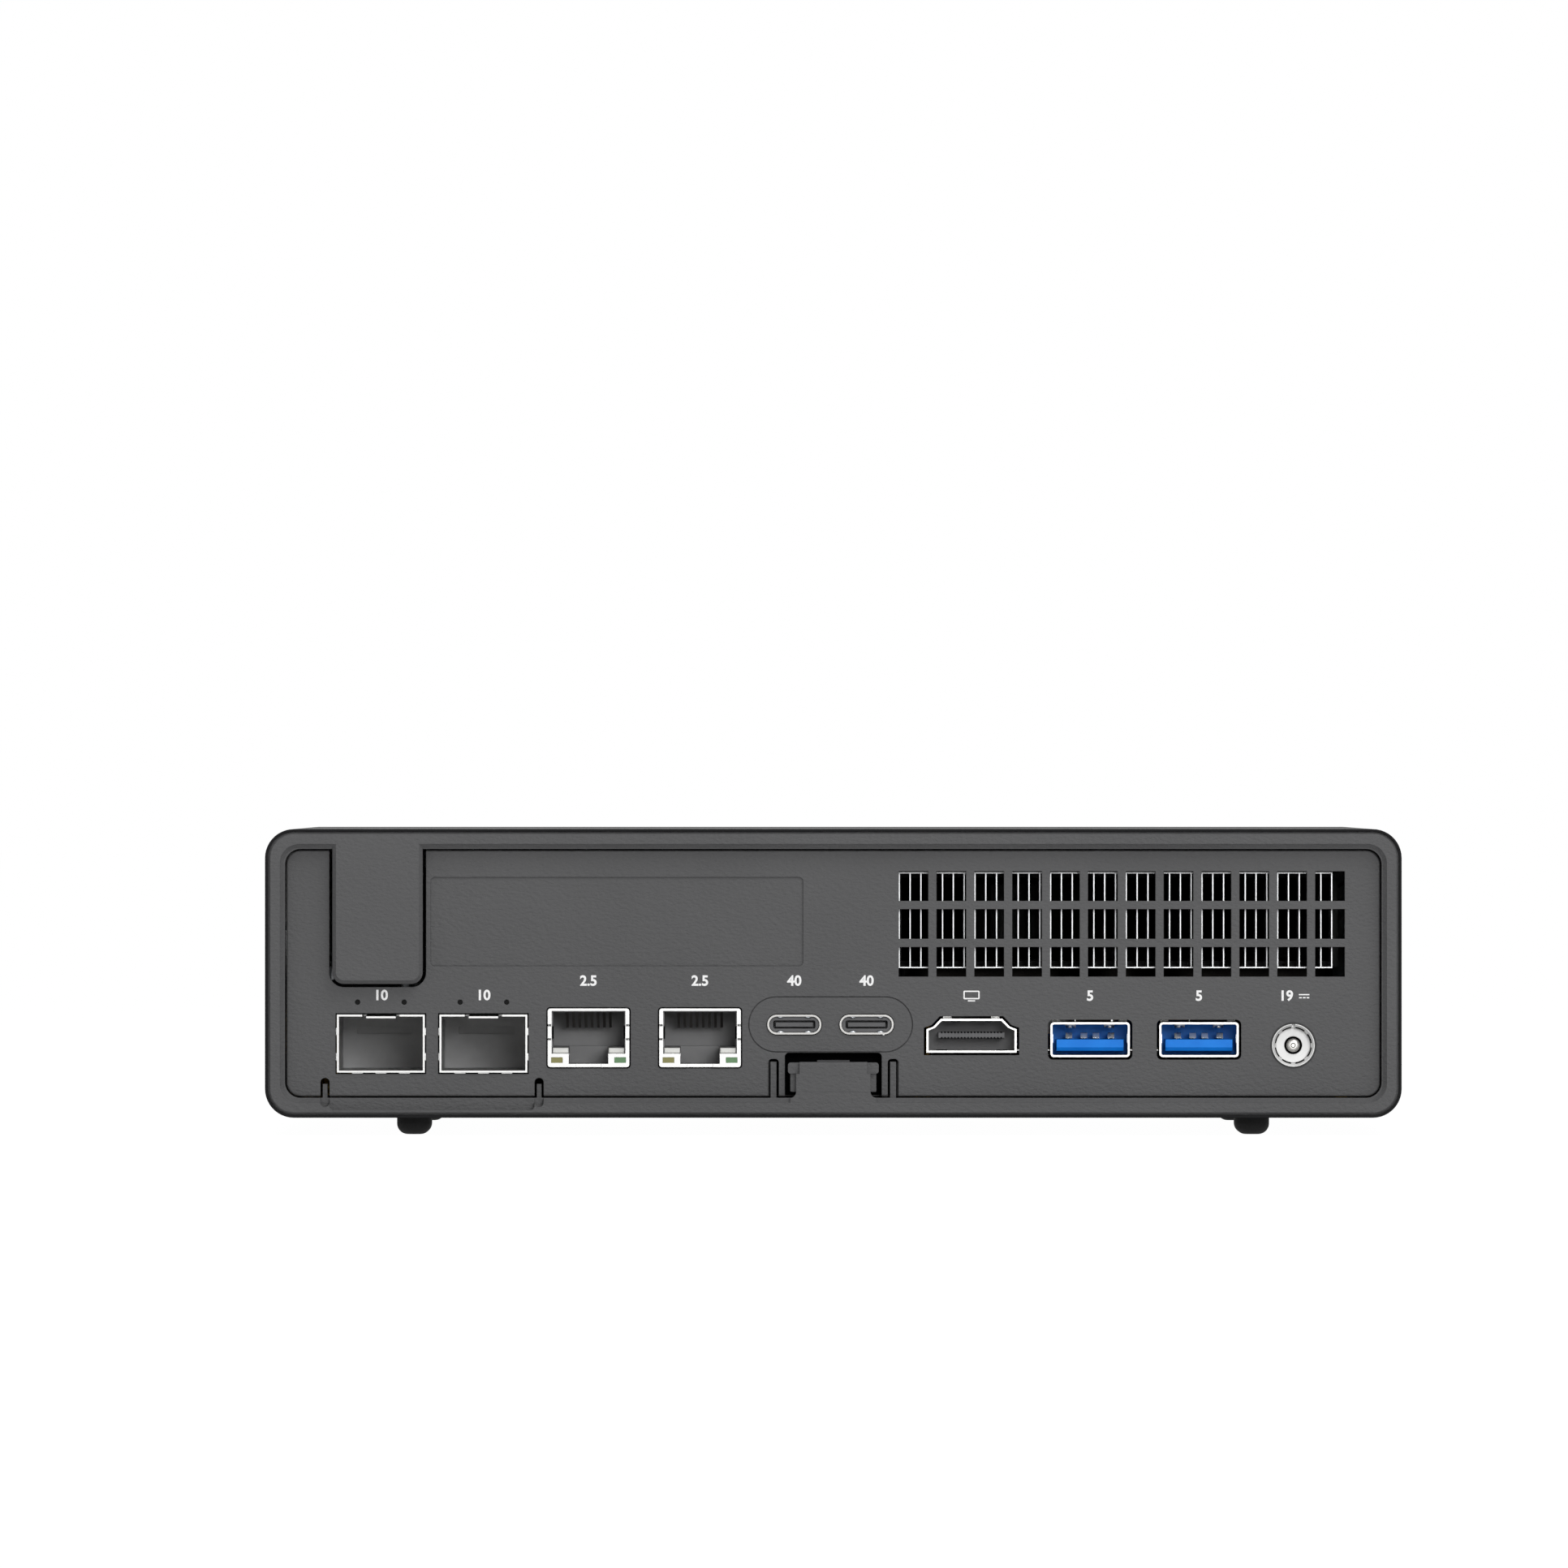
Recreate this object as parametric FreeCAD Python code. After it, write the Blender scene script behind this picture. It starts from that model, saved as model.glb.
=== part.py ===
"""Mini PC with a slide-out chassis: a sleeve on rubber feet, a rear frame with a release latch, and a
tray that carries the mainboard, its connectors, two fans, memory, drives and an expansion bay.

Millimetres. The origin is the centre of the footprint at the level of the foot soles. +Z is up, the
connector face looks along -Y and the face with the power button along +Y. One STEP file is written for
each sub-part."""
import FreeCAD
import Part
import math
import os

os.makedirs("parts", exist_ok=True)
V = FreeCAD.Vector

# ---------------------------------------------------------------- driving dimensions
# casing
width = 189.0
depth = 196.0
body_height = 48.0
corner_radius = 4.8
sleeve_wall = 1.2
foot_height = 3.0
foot_width = 5.74
foot_length = 14.0
foot_edge_radius = 1.8
foot_spacing_x = 140.0
foot_spacing_y = 150.0
foot_peg_radius = 1.2

# rear frame, as insets from the outer outline of the body
lip_inset = 0.4
rim_bevel = 0.5
rim_inner_inset = 2.5
frame_opening_inset = 3.3
frame_step_depth = 0.8
frame_inner_radius = 2.6
frame_flange_depth = 4.0
frame_spigot_depth = 3.0
panel_recess = 2.4
panel_thickness = 1.8
panel_gap = 0.22
panel_edge_round = 0.3
panel_ear_x = 30.5

# hanging tab of the rear frame
tab_left = -83.3
tab_right = -68.3
tab_bottom = 25.25
tab_thickness = 3.4
tab_bevel = 0.6
tab_corner_radius = 1.9
tab_gap = 0.55

# release latch
latch_half_width = 6.2
latch_head_half_width = 5.64
latch_seam_z = 7.3
latch_shoulder_z = 10.3
latch_top_z = 12.28
latch_thickness = 1.8
latch_flank_half_width = 7.55
latch_root_fillet = 1.0
latch_notch_half_width = 8.06
latch_notch_top = 13.8
latch_pocket_wall = 0.8
latch_pocket_margin = 3.34
prong_width = 1.0
prong_slot_width = 1.78
prong_x = 9.95
prong_slot_top = 12.75

# relief below the module cages
relief_left = -83.8
relief_right = -49.7
relief_floor_z = 4.3
relief_depth = 1.6
relief_slot_width = 1.52
relief_slot_top = 9.6

# running clearances
tray_side_clearance = 0.7
glide_thickness = 0.4
slide_gap = 0.3
shaft_clearance = 0.05
button_clearance = 0.3
button_travel = 0.8

# tray and front
tray_steel = 1.0
tray_wall_top = 34.0
fascia_depth = 6.5
fascia_skin = 2.0
fascia_wall = 2.2
fascia_round = 1.2
grille_plate = 1.0

# mainboard
board_thickness = 1.6
board_half_width = 88.5
board_front_gap = 14.0
standoff_radius = 2.5
screw_radius = 1.4
screw_head_radius = 2.6
screw_head_height = 1.5
board_fixings = [(-85.5, -40.0), (85.2, -80.0), (-85.5, 78.0), (85.2, 78.0), (14.0, -60.0), (6.0, 70.0)]

# rear connectors: centres and outer sizes
sfp_centres = [-75.27, -58.21]
sfp_z = 15.31
sfp_width = 14.62
sfp_height = 9.66
sfp_wall = 0.33
sfp_length = 47.5
sfp_mouth_length = 37.0
sfp_window_gap = 0.22
sfp_lamp_rise = 0.47
sfp_lamp_offset = 3.87
sfp_lamp_radius = 0.435
rj45_centres = [-40.72, -22.17]
rj45_z = 16.27
rj45_width = 13.58
rj45_height = 9.76
rj45_length = 21.0
rj45_wall = 0.35
rj45_window_gap = 0.21
rj45_mouth_width = 12.25
rj45_mouth_bottom = 13.63
rj45_mouth_top = 20.74
rj45_keyway_width = 6.57
rj45_keyway_bottom = 11.94
rj45_lip_width = 4.28
rj45_contact_pitch = 1.02
rj45_lamp_width = 1.93
rj45_lamp_height = 0.93
rj45_lamp_z = 12.57
rj45_lamp_offset = 5.26
usb_c_centres = [-6.48, 5.55]
usb_c_z = 18.47
usb_c_width = 9.0
usb_c_height = 3.3
usb_c_wall = 0.32
usb_c_length = 10.0
usb_c_field = (-14.15, 13.25, 13.82, 23.15)
usb_c_field_radius = 4.66
usb_c_field_depth = 0.3
hdmi_x = 23.0
hdmi_bottom = 13.8
hdmi_top = 19.44
hdmi_wall = 0.35
hdmi_length = 12.0
usb_a_centres = [42.73, 60.85]
usb_a_z = 15.96
usb_a_width = 13.2
usb_a_height = 5.8
usb_a_wall = 0.34
usb_a_length = 14.0
usb_a_tongue_width = 11.16
usb_a_tongue_bottom = 14.1
usb_a_tongue_top = 16.0
usb_a_contact_offsets = [-3.5, -1.0, 1.0, 3.5]
port_window_gap = 0.42
port_proud = 0.3
dc_x = 76.54
dc_z = 15.02
dc_radius = 3.55
dc_window_radius = 3.8
dc_bore_radius = 2.9
dc_collar_radius = 1.45
dc_pin_radius = 1.15
dc_floor_depth = 8.2
dc_length = 13.0

# vents, fins and cooler
vent_columns = 12
vent_rows = 3
vent_pitch = 6.3
vent_square = 4.94
vent_left = 10.87
vent_bottom = 26.44
fin_count = 41
fin_pitch = 1.8
fin_thickness = 0.2
fin_left = 10.9
fin_height = 15.95
fin_depth = 20.0
fin_back_gap = 1.2
cpu_x = 47.5
cpu_y = -30.0
pipe_thickness = 3.5
pipe_width = 8.0
pipe_spacing = 12.0
base_thickness = 1.45
cpu_substrate = 0.7
cpu_die = 0.46
blower_left = 10.5
blower_right = 84.5
blower_front = 10.0
blower_wall = 1.0
blower_inlet_radius = 22.0
blower_blades = 23
blower_hub_radius = 12.5
blower_tip_radius = 30.0
shaft_radius = 1.0
ssd_fan_x = -34.0
ssd_fan_y = 10.0
ssd_fan_size = 60.0
ssd_fan_height = 7.5
ssd_fan_blades = 9
fan_vent_margin = 3.0
fan_vent_pitch = 6.0
fan_vent_width = 2.5

# modules
memory_left = 12.0
memory_width = 67.6
memory_depth = 30.0
memory_y = 14.0
ssd_centres = [-60.0, -34.0, -8.0]
ssd_width = 22.0
ssd_length = 80.0
ssd_y = -30.0
slot_window = (-67.0, -5.03, 28.2, 43.0)
slot_window_radius = 0.7
slot_cover_recess = 0.25
expansion_x = -3.0
expansion_y = -60.0
expansion_length = 89.0

# front face
button_x = 78.0
button_z = 30.0
button_radius = 5.0
led_x = 66.0
led_radius = 0.9
front_port_z = 15.0
front_usb_centres = [56.0, 36.0, 16.0]
audio_x = 74.0
audio_radius = 3.0
grille_window = (-84.0, 52.0, 24.0, 44.0)

# ---------------------------------------------------------------- derived places
rear = -depth / 2
front = depth / 2
half = width / 2
body_z0 = foot_height
body_z1 = foot_height + body_height
panel_face = rear + panel_recess
panel_back = panel_face + panel_thickness
panel_inset = frame_opening_inset + panel_gap
frame_end = rear + frame_flange_depth + frame_spigot_depth
tray_inset = sleeve_wall + tray_side_clearance
tray_start = frame_end + 0.5
tray_floor = body_z0 + tray_inset + tray_steel
fascia_back = front - fascia_depth
sleeve_end = fascia_back - slide_gap
front_wall = fascia_back - tray_steel
skin_back = front - fascia_skin
board_z = sfp_z + sfp_height / 2
board_top = board_z + board_thickness
sfp_lamp_z = board_top + sfp_lamp_rise
board_rear = panel_back + 0.5
board_front_y = front - board_front_gap
port_face = panel_face - port_proud
base_bottom = board_top + cpu_substrate + cpu_die
fin_bottom = base_bottom + base_thickness + pipe_thickness
fin_top = fin_bottom + fin_height
fin_rear = panel_back + fin_back_gap
fin_front = fin_rear + fin_depth
fin_right = fin_left + (fin_count - 1) * fin_pitch + fin_thickness


# ---------------------------------------------------------------- shape helpers
def block(x0, x1, y0, y1, z0, z1):
    """A plain box between two corners."""
    return Part.makeBox(x1 - x0, y1 - y0, z1 - z0, V(x0, y0, z0))


def rounded(x0, x1, y0, y1, z0, z1, radius, along="Y"):
    """A box whose four edges along one axis are rounded."""
    solid = block(x0, x1, y0, y1, z0, z1)
    index = "XYZ".index(along)
    edges = [e for e in solid.Edges if abs(abs(e.tangentAt(e.FirstParameter)[index]) - 1) < 1e-6]
    return solid.makeFillet(radius, edges)


def body_outline(inset, y0, y1, radius=None):
    """The body's rounded rectangular outline, moved inwards and extruded along Y."""
    r = corner_radius - inset if radius is None else radius
    return rounded(-half + inset, half - inset, y0, y1, body_z0 + inset, body_z1 - inset, r)


def disc(x, y, z, radius, length, along="Y"):
    """A cylinder that starts at a point and runs along one axis."""
    direction = {"X": V(1, 0, 0), "Y": V(0, 1, 0), "Z": V(0, 0, 1)}[along]
    return Part.makeCylinder(radius, length, V(x, y, z), direction)


def prism_y(points, y0, y1):
    """A polygon of (x, z) points extruded along Y."""
    wire = Part.makePolygon([V(x, y0, z) for x, z in points] + [V(points[0][0], y0, points[0][1])])
    return Part.Face(wire).extrude(V(0, y1 - y0, 0))


def prism_x(points, x0, x1):
    """A polygon of (y, z) points extruded along X."""
    wire = Part.makePolygon([V(x0, y, z) for y, z in points] + [V(x0, points[0][0], points[0][1])])
    return Part.Face(wire).extrude(V(x1 - x0, 0, 0))


def join(first, *others):
    """One solid from pieces that touch."""
    return first.fuse(list(others)).removeSplitter()


def without(solid, *tools):
    """A solid with the tools cut out of it."""
    return solid.cut(list(tools))


def front_edges(solid, y):
    """The edges that lie in the plane of one Y value."""
    return [e for e in solid.Edges if all(abs(v.Y - y) < 1e-6 for v in e.Vertexes)]


def group(solids):
    """Separate solids that share one sub-part."""
    return Part.makeCompound(solids)


# ---------------------------------------------------------------- shell
def fan_vent_slots(z0, z1):
    """Floor slots under the drive fan: parallel rows that end on a circle inside the fan's frame."""
    field = ssd_fan_size / 2 - fan_vent_margin
    slots = []
    for i in range(int((field - fan_vent_margin) * 2 / fan_vent_pitch) + 1):
        y = ssd_fan_y - field + fan_vent_margin + i * fan_vent_pitch
        reach = math.sqrt(field ** 2 - (y + fan_vent_width / 2 - ssd_fan_y) ** 2)
        slots.append(rounded(ssd_fan_x - reach, ssd_fan_x + reach, y, y + fan_vent_width,
                             z0, z1, fan_vent_width / 2 - 0.05, "Z"))
    return slots


def foot_places():
    """Centres of the four feet."""
    return [(sx * foot_spacing_x / 2, sy * foot_spacing_y / 2) for sx in (-1, 1) for sy in (-1, 1)]


def outer_sleeve():
    """Extruded sleeve, thinned at the rear for the frame, with side louvres and floor vents."""
    shell = without(
        body_outline(0, rear, sleeve_end),
        body_outline(sleeve_wall, rear - 1, sleeve_end + 1),
        body_outline(lip_inset, rear - 1, rear + frame_flange_depth),
    )
    tools = []
    for row in (14.0, 33.0):
        for i in range(14):
            y = -60.0 + i * 9.0
            tools.append(rounded(-half - 1, half + 1, y, y + 3.0, row, row + 12.0, 1.45, "X"))
    tools += fan_vent_slots(body_z0 - 1, body_z0 + sleeve_wall + 0.2)
    tools += [disc(x, y, body_z0 - 1, foot_peg_radius, sleeve_wall + 2, "Z") for x, y in foot_places()]
    return without(shell, *tools)


def rubber_feet():
    """Four oblong feet, domed at the sole, each with a peg through the sleeve floor."""
    feet = []
    for x, y in foot_places():
        pad = rounded(x - foot_width / 2, x + foot_width / 2, y - foot_length / 2, y + foot_length / 2,
                      0, body_z0, foot_width / 2 - 0.01, "Z")
        sole = [e for e in pad.Edges if all(abs(v.Z) < 1e-6 for v in e.Vertexes)]
        pad = pad.makeFillet(foot_edge_radius, sole)
        feet.append(join(pad, disc(x, y, body_z0, foot_peg_radius, sleeve_wall, "Z")))
    return group(feet)


def glide_strips():
    """Two low strips on the sleeve floor that carry the tray."""
    z = body_z0 + sleeve_wall
    return group([
        rounded(side * 78.0 - 5.0, side * 78.0 + 5.0, frame_end + 2, sleeve_end - 4,
                z, z + glide_thickness, 2.0, "Z")
        for side in (-1, 1)
    ])


def frame_ring():
    """The rim: a bevelled flange in the sleeve's rebate, and a spigot behind it inside the sleeve."""
    flange = body_outline(lip_inset, rear, rear + frame_flange_depth)
    flange = flange.makeChamfer(rim_bevel, front_edges(flange, rear))
    ring = join(flange, body_outline(sleeve_wall, rear + frame_flange_depth, frame_end))
    mouth = body_outline(frame_opening_inset, rear - 1, frame_end + 1, frame_inner_radius)
    flare = body_outline(rim_inner_inset, rear - 1, rear + frame_step_depth, frame_inner_radius + 0.6)
    inner = [e for e in flare.Edges if all(abs(v.Y - rear - frame_step_depth) < 1e-6 for v in e.Vertexes)]
    flare = flare.makeChamfer(frame_opening_inset - rim_inner_inset - 0.15, inner)
    return without(ring, mouth, flare)


def frame_tab():
    """The tab that hangs from the top rim at rim level."""
    tab = rounded(tab_left, tab_right, rear, rear + tab_thickness, tab_bottom, body_z1 + 5, tab_corner_radius)
    tab = tab.makeChamfer(tab_bevel, front_edges(tab, rear))
    return without(tab, block(-half, half, rear - 1, rear + 9, body_z1 - rim_inner_inset, body_z1 + 9))


def latch_stub():
    """The frame's own root of the latch tongue, with rounded inner corners where it leaves the rim."""
    y0, y1 = rear, rear + latch_thickness
    sill = body_z0 + frame_opening_inset
    low = body_z0 + rim_inner_inset - 0.2
    pieces = [block(-latch_half_width, latch_half_width, y0, y1, low, latch_seam_z)]
    for side in (-1, 1):
        x = side * latch_half_width
        outer = x + side * latch_root_fillet
        corner = block(min(x, outer), max(x, outer), y0, y1, sill - 1.0, sill + latch_root_fillet)
        pieces.append(without(corner, disc(outer, y0 - 1, sill + latch_root_fillet, latch_root_fillet, 9)))
    return pieces


def relief_cutters():
    """The step below the module cages: a shallow relief in the rim, and a slot at each end of it."""
    cutters = [rounded(relief_left, relief_right, rear - 1, rear + relief_depth,
                       relief_floor_z, body_z0 + frame_opening_inset + 2, 0.7)]
    for x in relief_slots():
        cutters.append(rounded(x - relief_slot_width / 2, x + relief_slot_width / 2,
                               rear - 1, rear + relief_depth + 0.4,
                               relief_floor_z + 0.5, relief_slot_top, relief_slot_width / 2 - 0.01))
    return cutters


def relief_slots():
    """Centres of the two slots at the ends of the relief."""
    return [relief_left - relief_slot_width / 2, relief_right + relief_slot_width / 2]


def rear_frame():
    """Rim, hanging tab, latch root and the four prongs that key the panel."""
    sill = body_z0 + frame_opening_inset
    prongs = []
    for x in (-prong_x, prong_x):
        prongs.append(block(x - prong_width / 2, x + prong_width / 2, panel_face + 0.2, frame_end,
                            sill - 1, prong_slot_top - 0.45))
    for x in relief_slots():
        prongs.append(block(x - 0.4, x + 0.4, panel_face + 0.5, frame_end, sill - 1, relief_slot_top - 1.0))
    ring = without(frame_ring(), *relief_cutters())
    return join(ring, frame_tab(), *latch_stub(), *prongs)


def release_latch():
    """The spring tongue: a plate flush with the rim, its narrower head, ears, flanks and a catch behind."""
    back = rear + latch_thickness
    plate = block(-latch_half_width, latch_half_width, rear, back, latch_seam_z, latch_shoulder_z)
    head = block(-latch_head_half_width, latch_head_half_width, rear, back, latch_shoulder_z, latch_top_z)
    crown = [e for e in head.Edges if all(abs(v.Z - latch_top_z) < 1e-6 and abs(v.Y - rear) < 1e-6
                                          for v in e.Vertexes)]
    head = head.makeFillet(0.4, crown)
    ears = rounded(-latch_flank_half_width, latch_flank_half_width, rear + 0.8, back,
                   latch_shoulder_z, latch_top_z - 0.1, 0.5)
    flanks = rounded(-latch_flank_half_width + 0.4, latch_flank_half_width - 0.4, rear + 1.3, back,
                     latch_seam_z, latch_shoulder_z + 0.3, 0.2)
    catch = prism_x([(back, 10.6), (back + 1.3, 11.6), (back + 1.3, latch_top_z + 0.3), (back, latch_top_z)],
                    -2.7, 2.7)
    return join(plate, head, ears, flanks, catch)


# ---------------------------------------------------------------- tray, panel and front
def tray():
    """Folded steel tray with side walls, a front wall, louvres and a vent field under the drive fan."""
    shape = without(
        body_outline(tray_inset, tray_start, fascia_back),
        body_outline(tray_inset + tray_steel, tray_start - 1, front_wall),
        block(-half, half, tray_start - 1, front_wall, tray_wall_top, body_z1),
    )
    tools = []
    for i in range(14):
        y = -60.0 + i * 9.0
        tools.append(block(-half, half, y, y + 3.0, 14.0, 26.0))
    tools += fan_vent_slots(body_z0, tray_floor + 0.2)
    wall = (front_wall - 1, fascia_back + 1)
    left, right, low, high = grille_window
    tools.append(block(left, right, *wall, low, high))
    for x in front_usb_centres:
        tools.append(block(x - 7.0, x + 7.0, *wall, front_port_z - 3.3, front_port_z + 3.3))
    tools.append(disc(audio_x, wall[0], front_port_z, audio_radius + 0.4, 9))
    tools.append(disc(led_x, wall[0], button_z, led_radius + 0.1, 9))
    return without(shape, *tools)


def hdmi_outline(grow):
    """Points of the trapezoid port, wide side down, moved outwards by grow."""
    right = [(7.5 + grow, hdmi_bottom - grow), (7.5 + grow, hdmi_top - 1.75 + grow * 0.6),
             (6.35 + grow * 0.7, hdmi_top - 1.3 + grow * 0.6), (5.1 + grow * 0.4, hdmi_top + grow)]
    return [(hdmi_x + x, z) for x, z in right] + [(hdmi_x - x, z) for x, z in reversed(right)]


def panel_cutters():
    """Every opening of the connector panel."""
    y0, y1 = panel_face - 1, panel_back + 1
    cutters = []
    for x in sfp_centres:
        reach_x = sfp_width / 2 + sfp_window_gap
        reach_z = sfp_height / 2 + sfp_window_gap
        cutters.append(block(x - reach_x, x + reach_x, y0, y1, sfp_z - reach_z, sfp_z + reach_z))
        for side in (-1, 1):
            cutters.append(disc(x + side * sfp_lamp_offset, y0, sfp_lamp_z, sfp_lamp_radius, 9))
    for x in rj45_centres:
        reach_x = rj45_width / 2 + rj45_window_gap
        reach_z = rj45_height / 2 + rj45_window_gap
        cutters.append(rounded(x - reach_x, x + reach_x, y0, y1, rj45_z - reach_z, rj45_z + reach_z, 0.6))
    for x in usb_c_centres:
        reach_x, reach_z = usb_c_width / 2 + 0.12, usb_c_height / 2 + 0.12
        cutters.append(rounded(x - reach_x, x + reach_x, y0, y1, usb_c_z - reach_z, usb_c_z + reach_z,
                               reach_z - 0.01))
    for x in usb_a_centres:
        reach_x, reach_z = usb_a_width / 2 + port_window_gap, usb_a_height / 2 + port_window_gap
        cutters.append(rounded(x - reach_x, x + reach_x, y0, y1, usb_a_z - reach_z, usb_a_z + reach_z,
                               port_window_gap * 2))
    cutters.append(prism_y(hdmi_outline(port_window_gap), y0, y1))
    cutters.append(disc(dc_x, y0, dc_z, dc_window_radius, 9))
    for column in range(vent_columns):
        for row in range(vent_rows):
            x = vent_left + column * vent_pitch
            z = vent_bottom + row * vent_pitch
            cutters.append(block(x, x + vent_square, y0, y1, z, z + vent_square))
    left, right, low, high = slot_window
    cutters.append(rounded(left, right, y0, y1, low, high, slot_window_radius))
    return cutters


def panel_keys():
    """The cut-outs of the panel that clear the frame's tab, prongs and latch."""
    y0, y1 = panel_face - 1, panel_back + 1
    keys = [
        rounded(tab_left - tab_gap, tab_right + tab_gap, y0, y1, tab_bottom - tab_gap, body_z1 + 5,
                tab_corner_radius + tab_gap),
        rounded(-latch_notch_half_width, latch_notch_half_width, y0, y1, body_z0 - 2, latch_notch_top, 0.7),
    ]
    for x in (-prong_x, prong_x):
        keys.append(rounded(x - prong_slot_width / 2, x + prong_slot_width / 2, y0, y1,
                            body_z0 - 2, prong_slot_top, 0.6))
    for x in relief_slots():
        keys.append(rounded(x - relief_slot_width / 2, x + relief_slot_width / 2, y0, y1,
                            body_z0 - 2, relief_slot_top, relief_slot_width / 2 - 0.01))
    return keys


def usb_c_field_groove():
    """A fine groove round the pair of small ports that marks their shallow field."""
    x0, x1, z0, z1 = usb_c_field
    line = 0.16
    outer = rounded(x0, x1, panel_face - 1, panel_face + usb_c_field_depth, z0, z1, usb_c_field_radius)
    inner = rounded(x0 + line, x1 - line, panel_face - 2, panel_face + 1, z0 + line, z1 - line,
                    usb_c_field_radius - line)
    return outer.cut(inner)


def panel_ears():
    """Two feet behind the panel that are screwed down on the tray floor."""
    ears = []
    for side in (-1, 1):
        x = side * panel_ear_x
        low = body_z0 + panel_inset
        arm = block(x - 4, x + 4, panel_back - 0.5, tray_start + 8, low, low + 1.8)
        pad = block(x - 4, x + 4, tray_start + 0.3, tray_start + 8, tray_floor, low + 1.8)
        ears.append(without(join(arm, pad), disc(x, tray_start + 4.5, tray_floor - 1, screw_radius, 9, "Z")))
    return ears


def latch_pocket():
    """Walls behind the latch notch that close it off from the inside: two sides, a roof and a back."""
    reach = latch_notch_half_width + latch_pocket_margin
    low, high = body_z0 + panel_inset, latch_notch_top + 1.4
    back = frame_end + 0.4
    shell = block(-reach, reach, panel_back - 0.2, back + latch_pocket_wall, low, high)
    hollow = block(-reach + latch_pocket_wall, reach - latch_pocket_wall, panel_back - 1, back,
                   low - 1, high - latch_pocket_wall)
    return without(shell, hollow)


def io_panel():
    """Moulded connector panel with rounded edges, standing in the opening of the rear frame."""
    plate = body_outline(panel_inset, panel_face, panel_back, frame_inner_radius - panel_gap)
    plate = plate.makeFillet(panel_edge_round, front_edges(plate, panel_face))
    plate = without(plate, *panel_cutters(), *panel_keys(), usb_c_field_groove())
    return join(plate, latch_pocket(), *panel_ears())


def slot_cover():
    """Blank plate in the window of the expansion bay, with a flange behind the panel."""
    left, right, low, high = slot_window
    face = rounded(left, right, panel_face + slot_cover_recess, panel_back, low, high, slot_window_radius)
    flange = rounded(left - 0.2, right + 2.0, panel_back, panel_back + 0.8, low - 1.5, high + 1.5, 1.0)
    return join(face, flange)


def fascia_openings(y0, y1):
    """Holes of the front skin."""
    holes = [disc(button_x, y0, button_z, button_radius + button_clearance, y1 - y0),
             disc(led_x, y0, button_z, led_radius, y1 - y0),
             disc(audio_x, y0, front_port_z, audio_radius + 0.1, y1 - y0)]
    for x in front_usb_centres:
        reach_x, reach_z = usb_a_width / 2 + 0.3, usb_a_height / 2 + 0.3
        holes.append(rounded(x - reach_x, x + reach_x, y0, y1,
                             front_port_z - reach_z, front_port_z + reach_z, 0.7))
    return holes


def front_fascia():
    """Front cap with a rounded edge, hollow behind, with holes for the controls and the grille window."""
    cap = body_outline(0, fascia_back, front)
    cap = cap.makeFillet(fascia_round, front_edges(cap, front))
    hollow = body_outline(fascia_wall, fascia_back - 1, skin_back)
    left, right, low, high = grille_window
    window = rounded(left, right, skin_back - 1, front + 1, low, high, 2.0)
    return without(cap, hollow, window, *fascia_openings(skin_back - 1, front + 1))


def front_grille():
    """Slotted plate behind the front window."""
    left, right, low, high = grille_window
    plate = rounded(left - 2, right + 2, skin_back - grille_plate, skin_back, low - 2, high + 2, 3.0)
    tools = []
    count = int((right - left - 2) / 4.0)
    for row in range(2):
        z = low + 1.0 + row * (high - low) / 2
        for i in range(count):
            x = left + 2.0 + i * 4.0
            tools.append(block(x, x + 2.4, skin_back - 9, front, z, z + (high - low) / 2 - 2.0))
    return without(plate, *tools)


# ---------------------------------------------------------------- mainboard and fixings
def mainboard():
    """Printed board above the connectors, notched round the two network jacks."""
    board = rounded(-board_half_width, board_half_width, board_rear, board_front_y,
                    board_z, board_top, 2.0, "Z")
    tools = [disc(x, y, board_z - 1, screw_radius, 9, "Z") for x, y in board_fixings]
    for x in rj45_centres:
        reach = rj45_width / 2 + 0.15
        tools.append(block(x - reach, x + reach, board_rear - 1, port_face + rj45_length + 0.15,
                           board_z - 1, board_top + 1))
    return without(board, *tools)


def board_standoffs():
    """Six posts from the tray floor to the board."""
    return group([without(disc(x, y, tray_floor, standoff_radius, board_z - tray_floor, "Z"),
                          disc(x, y, board_z - 6, screw_radius, 9, "Z")) for x, y in board_fixings])


def board_screws():
    """Six screws through the board into the posts."""
    screws = []
    for x, y in board_fixings:
        head = disc(x, y, board_top, screw_head_radius, screw_head_height, "Z")
        drive = block(x - 1.4, x + 1.4, y - 0.3, y + 0.3, board_top + 0.7, board_top + 9)
        cross = block(x - 0.3, x + 0.3, y - 1.4, y + 1.4, board_top + 0.7, board_top + 9)
        shank = disc(x, y, board_z - 5, screw_radius, board_top - board_z + 5, "Z")
        screws.append(join(without(head, drive, cross), shank))
    return group(screws)


def panel_screws():
    """Two screws that hold the panel's feet on the tray floor."""
    top = body_z0 + panel_inset + 1.8
    y = tray_start + 4.5
    return group([join(disc(x, y, top, screw_head_radius, screw_head_height, "Z"),
                       disc(x, y, tray_floor, screw_radius, top - tray_floor, "Z"))
                  for x in (-panel_ear_x, panel_ear_x)])


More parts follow.
